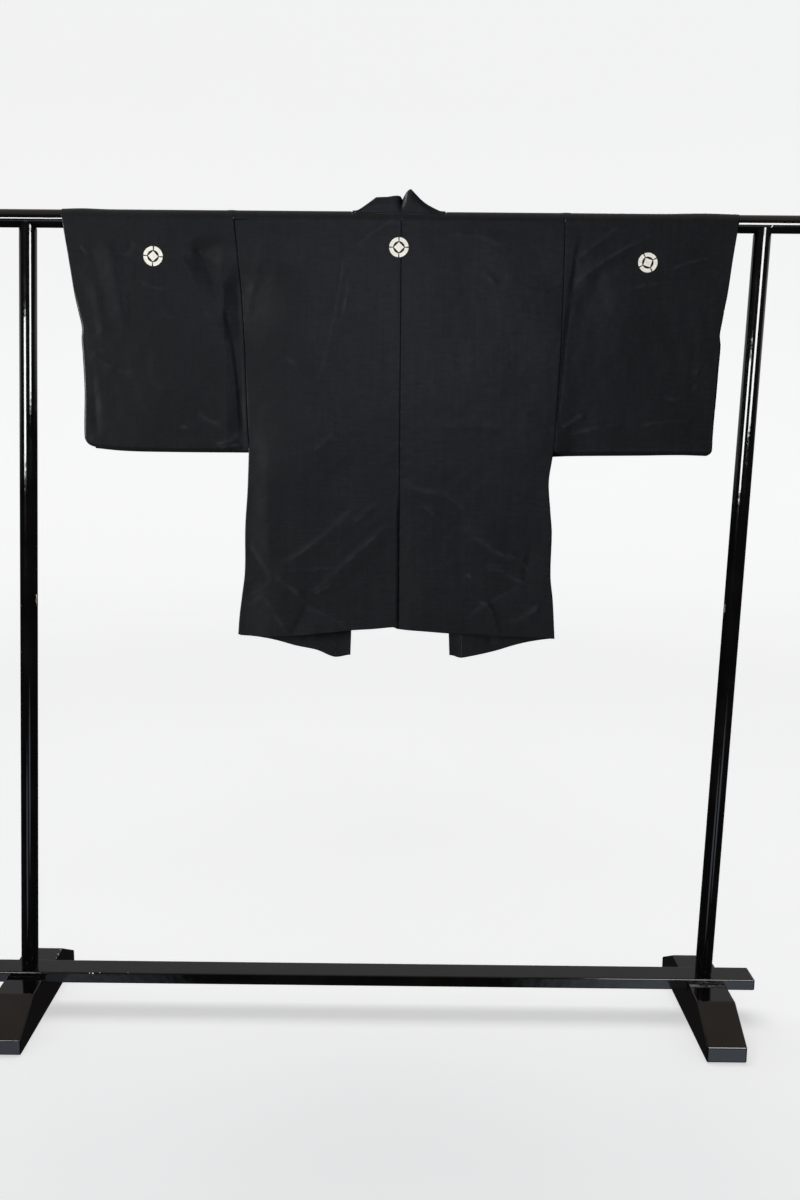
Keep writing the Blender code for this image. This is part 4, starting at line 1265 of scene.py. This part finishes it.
def area_light(name, place, target, width, height, radiance, colour=(1, 1, 1), turned=0):
    data = bpy.data.lights.new(name, "AREA")
    data.shape = "RECTANGLE"
    data.size, data.size_y = width, height
    data.energy = radiance * width * height * math.pi
    data.color = colour
    made = bpy.data.objects.new(name, data)
    bpy.context.scene.collection.objects.link(made)
    made.location = place
    aim = (Vector(target) - Vector(place)).to_track_quat("-Z", "Y")
    made.rotation_euler = (aim @ Quaternion((0, 0, 1), math.radians(turned))).to_euler()
    return made


# Patches of light on the room's floor in front, as the lacquer reflects them:
# heading from -Y towards +X and rise in degrees, and the light's colour
ROOM_GLINTS = ((18, -27, (1.0, 1.15, 1.35)), (-19, -32, (0.9, 1.0, 1.2)))


def room():
    """The light from all round: a bright wall behind, a dim room in front, and a dark floor."""
    world = bpy.data.worlds.new("room")
    world.use_nodes = True
    bpy.context.scene.world = world
    tree = world.node_tree
    shade = tree.nodes["Background"]
    direction = node(tree, "TexCoord").outputs["Generated"]
    part = node(tree, "SeparateXYZ", {0: direction}).outputs
    behind = remap(tree, part["Y"], -0.05, 0.15)
    above = remap(tree, part["Z"], -0.04, 0.04)
    high = remap(tree, part["Z"], 0.55, 0.8)
    wall_high = remap(tree, part["Z"], 0.10, 0.38)
    wall = mixed(tree, wall_high, (0.72, 0.72, 0.72), (0.27, 0.27, 0.27))
    seen = mixed(tree, behind, (0.05, 0.055, 0.065), wall)
    seen = mixed(tree, above, (0.02, 0.018, 0.018), seen)
    seen = mixed(tree, high, seen, (0.42, 0.36, 0.31))
    for heading, pitch, colour in ROOM_GLINTS:
        turn, rise = math.radians(heading), math.radians(pitch)
        middle = (math.sin(turn) * math.cos(rise), -math.cos(turn) * math.cos(rise), math.sin(rise))
        facing = node(tree, "VectorMath", {0: direction, 1: middle}, operation="DOT_PRODUCT")
        glint = remap(tree, facing.outputs["Value"], 0.982, 0.996)
        seen = mixed(tree, glint, seen, colour)
    share = remap(tree, part["X"], -1.0, 1.0)
    lit = mixed(tree, share, (0.17, 0.18, 0.19), (0.15, 0.15, 0.16))
    lit = mixed(tree, above, (0.03, 0.03, 0.03), lit)
    glossy = node(tree, "LightPath").outputs["Is Glossy Ray"]
    tree.links.new(mixed(tree, glossy, lit, seen), shade.inputs["Color"])
    shade.inputs["Strength"].default_value = 1.0


def shine_on(light, pieces):
    """Let a light fall on these pieces alone."""
    lit = bpy.data.collections.new(f"{light.name}_lit")
    for piece in pieces:
        lit.objects.link(piece)
    light.light_linking.receiver_collection = lit


AIM = (0, 0, 1.25)  # the middle of the jacket


def studio(lacquered, dressed):
    """A pale floor that curves up into a far wall, with soft lights in front, above and behind."""
    radius, fillet, top = 5.4, 2.0, 9.0
    bends = [math.radians(a) for a in range(0, 91, 6)]
    wall = [(radius + fillet * math.sin(a), fillet * (1 - math.cos(a))) for a in bends]
    wall.append((radius + fillet, top))

    def ring(r, z):
        return [(r * math.cos(a), r * math.sin(a), z) for a in FULL_TURN]

    bm = bmesh.new()
    bm.faces.new([bm.verts.new(point) for point in ring(radius, 0)])
    floor = add_object("floor", bm, stage_paint("floor_paint", 1.1, 0.0, 4.3, 0.47, 0.70))
    bm = bmesh.new()
    quads(bm, [ring(r, z) for r, z in reversed(wall)], closed=True)
    backdrop = add_object("backdrop", bm, stage_paint("backdrop_paint", 0.0, 5.4, 7.4, 0.70, 0.81))
    backdrop.visible_shadow = False
    for stage in (floor, backdrop):
        stage.visible_diffuse = False
        stage.visible_glossy = False

    windows = (
        area_light("window_left", (-2.85, -4.1, 1.38), AIM, 2.0, 0.85, 26, (0.95, 0.98, 1.0)),
        area_light("window_right", (1.36, -2.3, 1.60), AIM, 1.05, 0.76, 24),
    )
    for window in windows:
        shine_on(window, lacquered)
    key = area_light("key", (-9.0, -5.8, 1.85), AIM, 2.8, 3.3, 70, (0.97, 0.98, 1.0))
    glow = area_light(
        "glow", (0.04, -2.9, 1.75), (0.02, 0, 1.48), 1.0, 0.3, 5.5, (0.75, 0.92, 1.1), turned=-25
    )
    fill = area_light("fill", (4.2, 6.4, 2.6), AIM, 6.0, 5.0, 6, (1.0, 0.99, 0.97))
    for light in (key, glow, fill):
        shine_on(light, dressed)
    overhead = area_light("overhead", (0.0, 1.1, 3.6), (0, 1.1, 0), 3.0, 2.0, 2.6)
    overhead.visible_glossy = False
    bpy.context.scene.view_settings.view_transform = "Standard"


camera()
room()
studio(stand(), jacket())
bpy.context.view_layer.update()
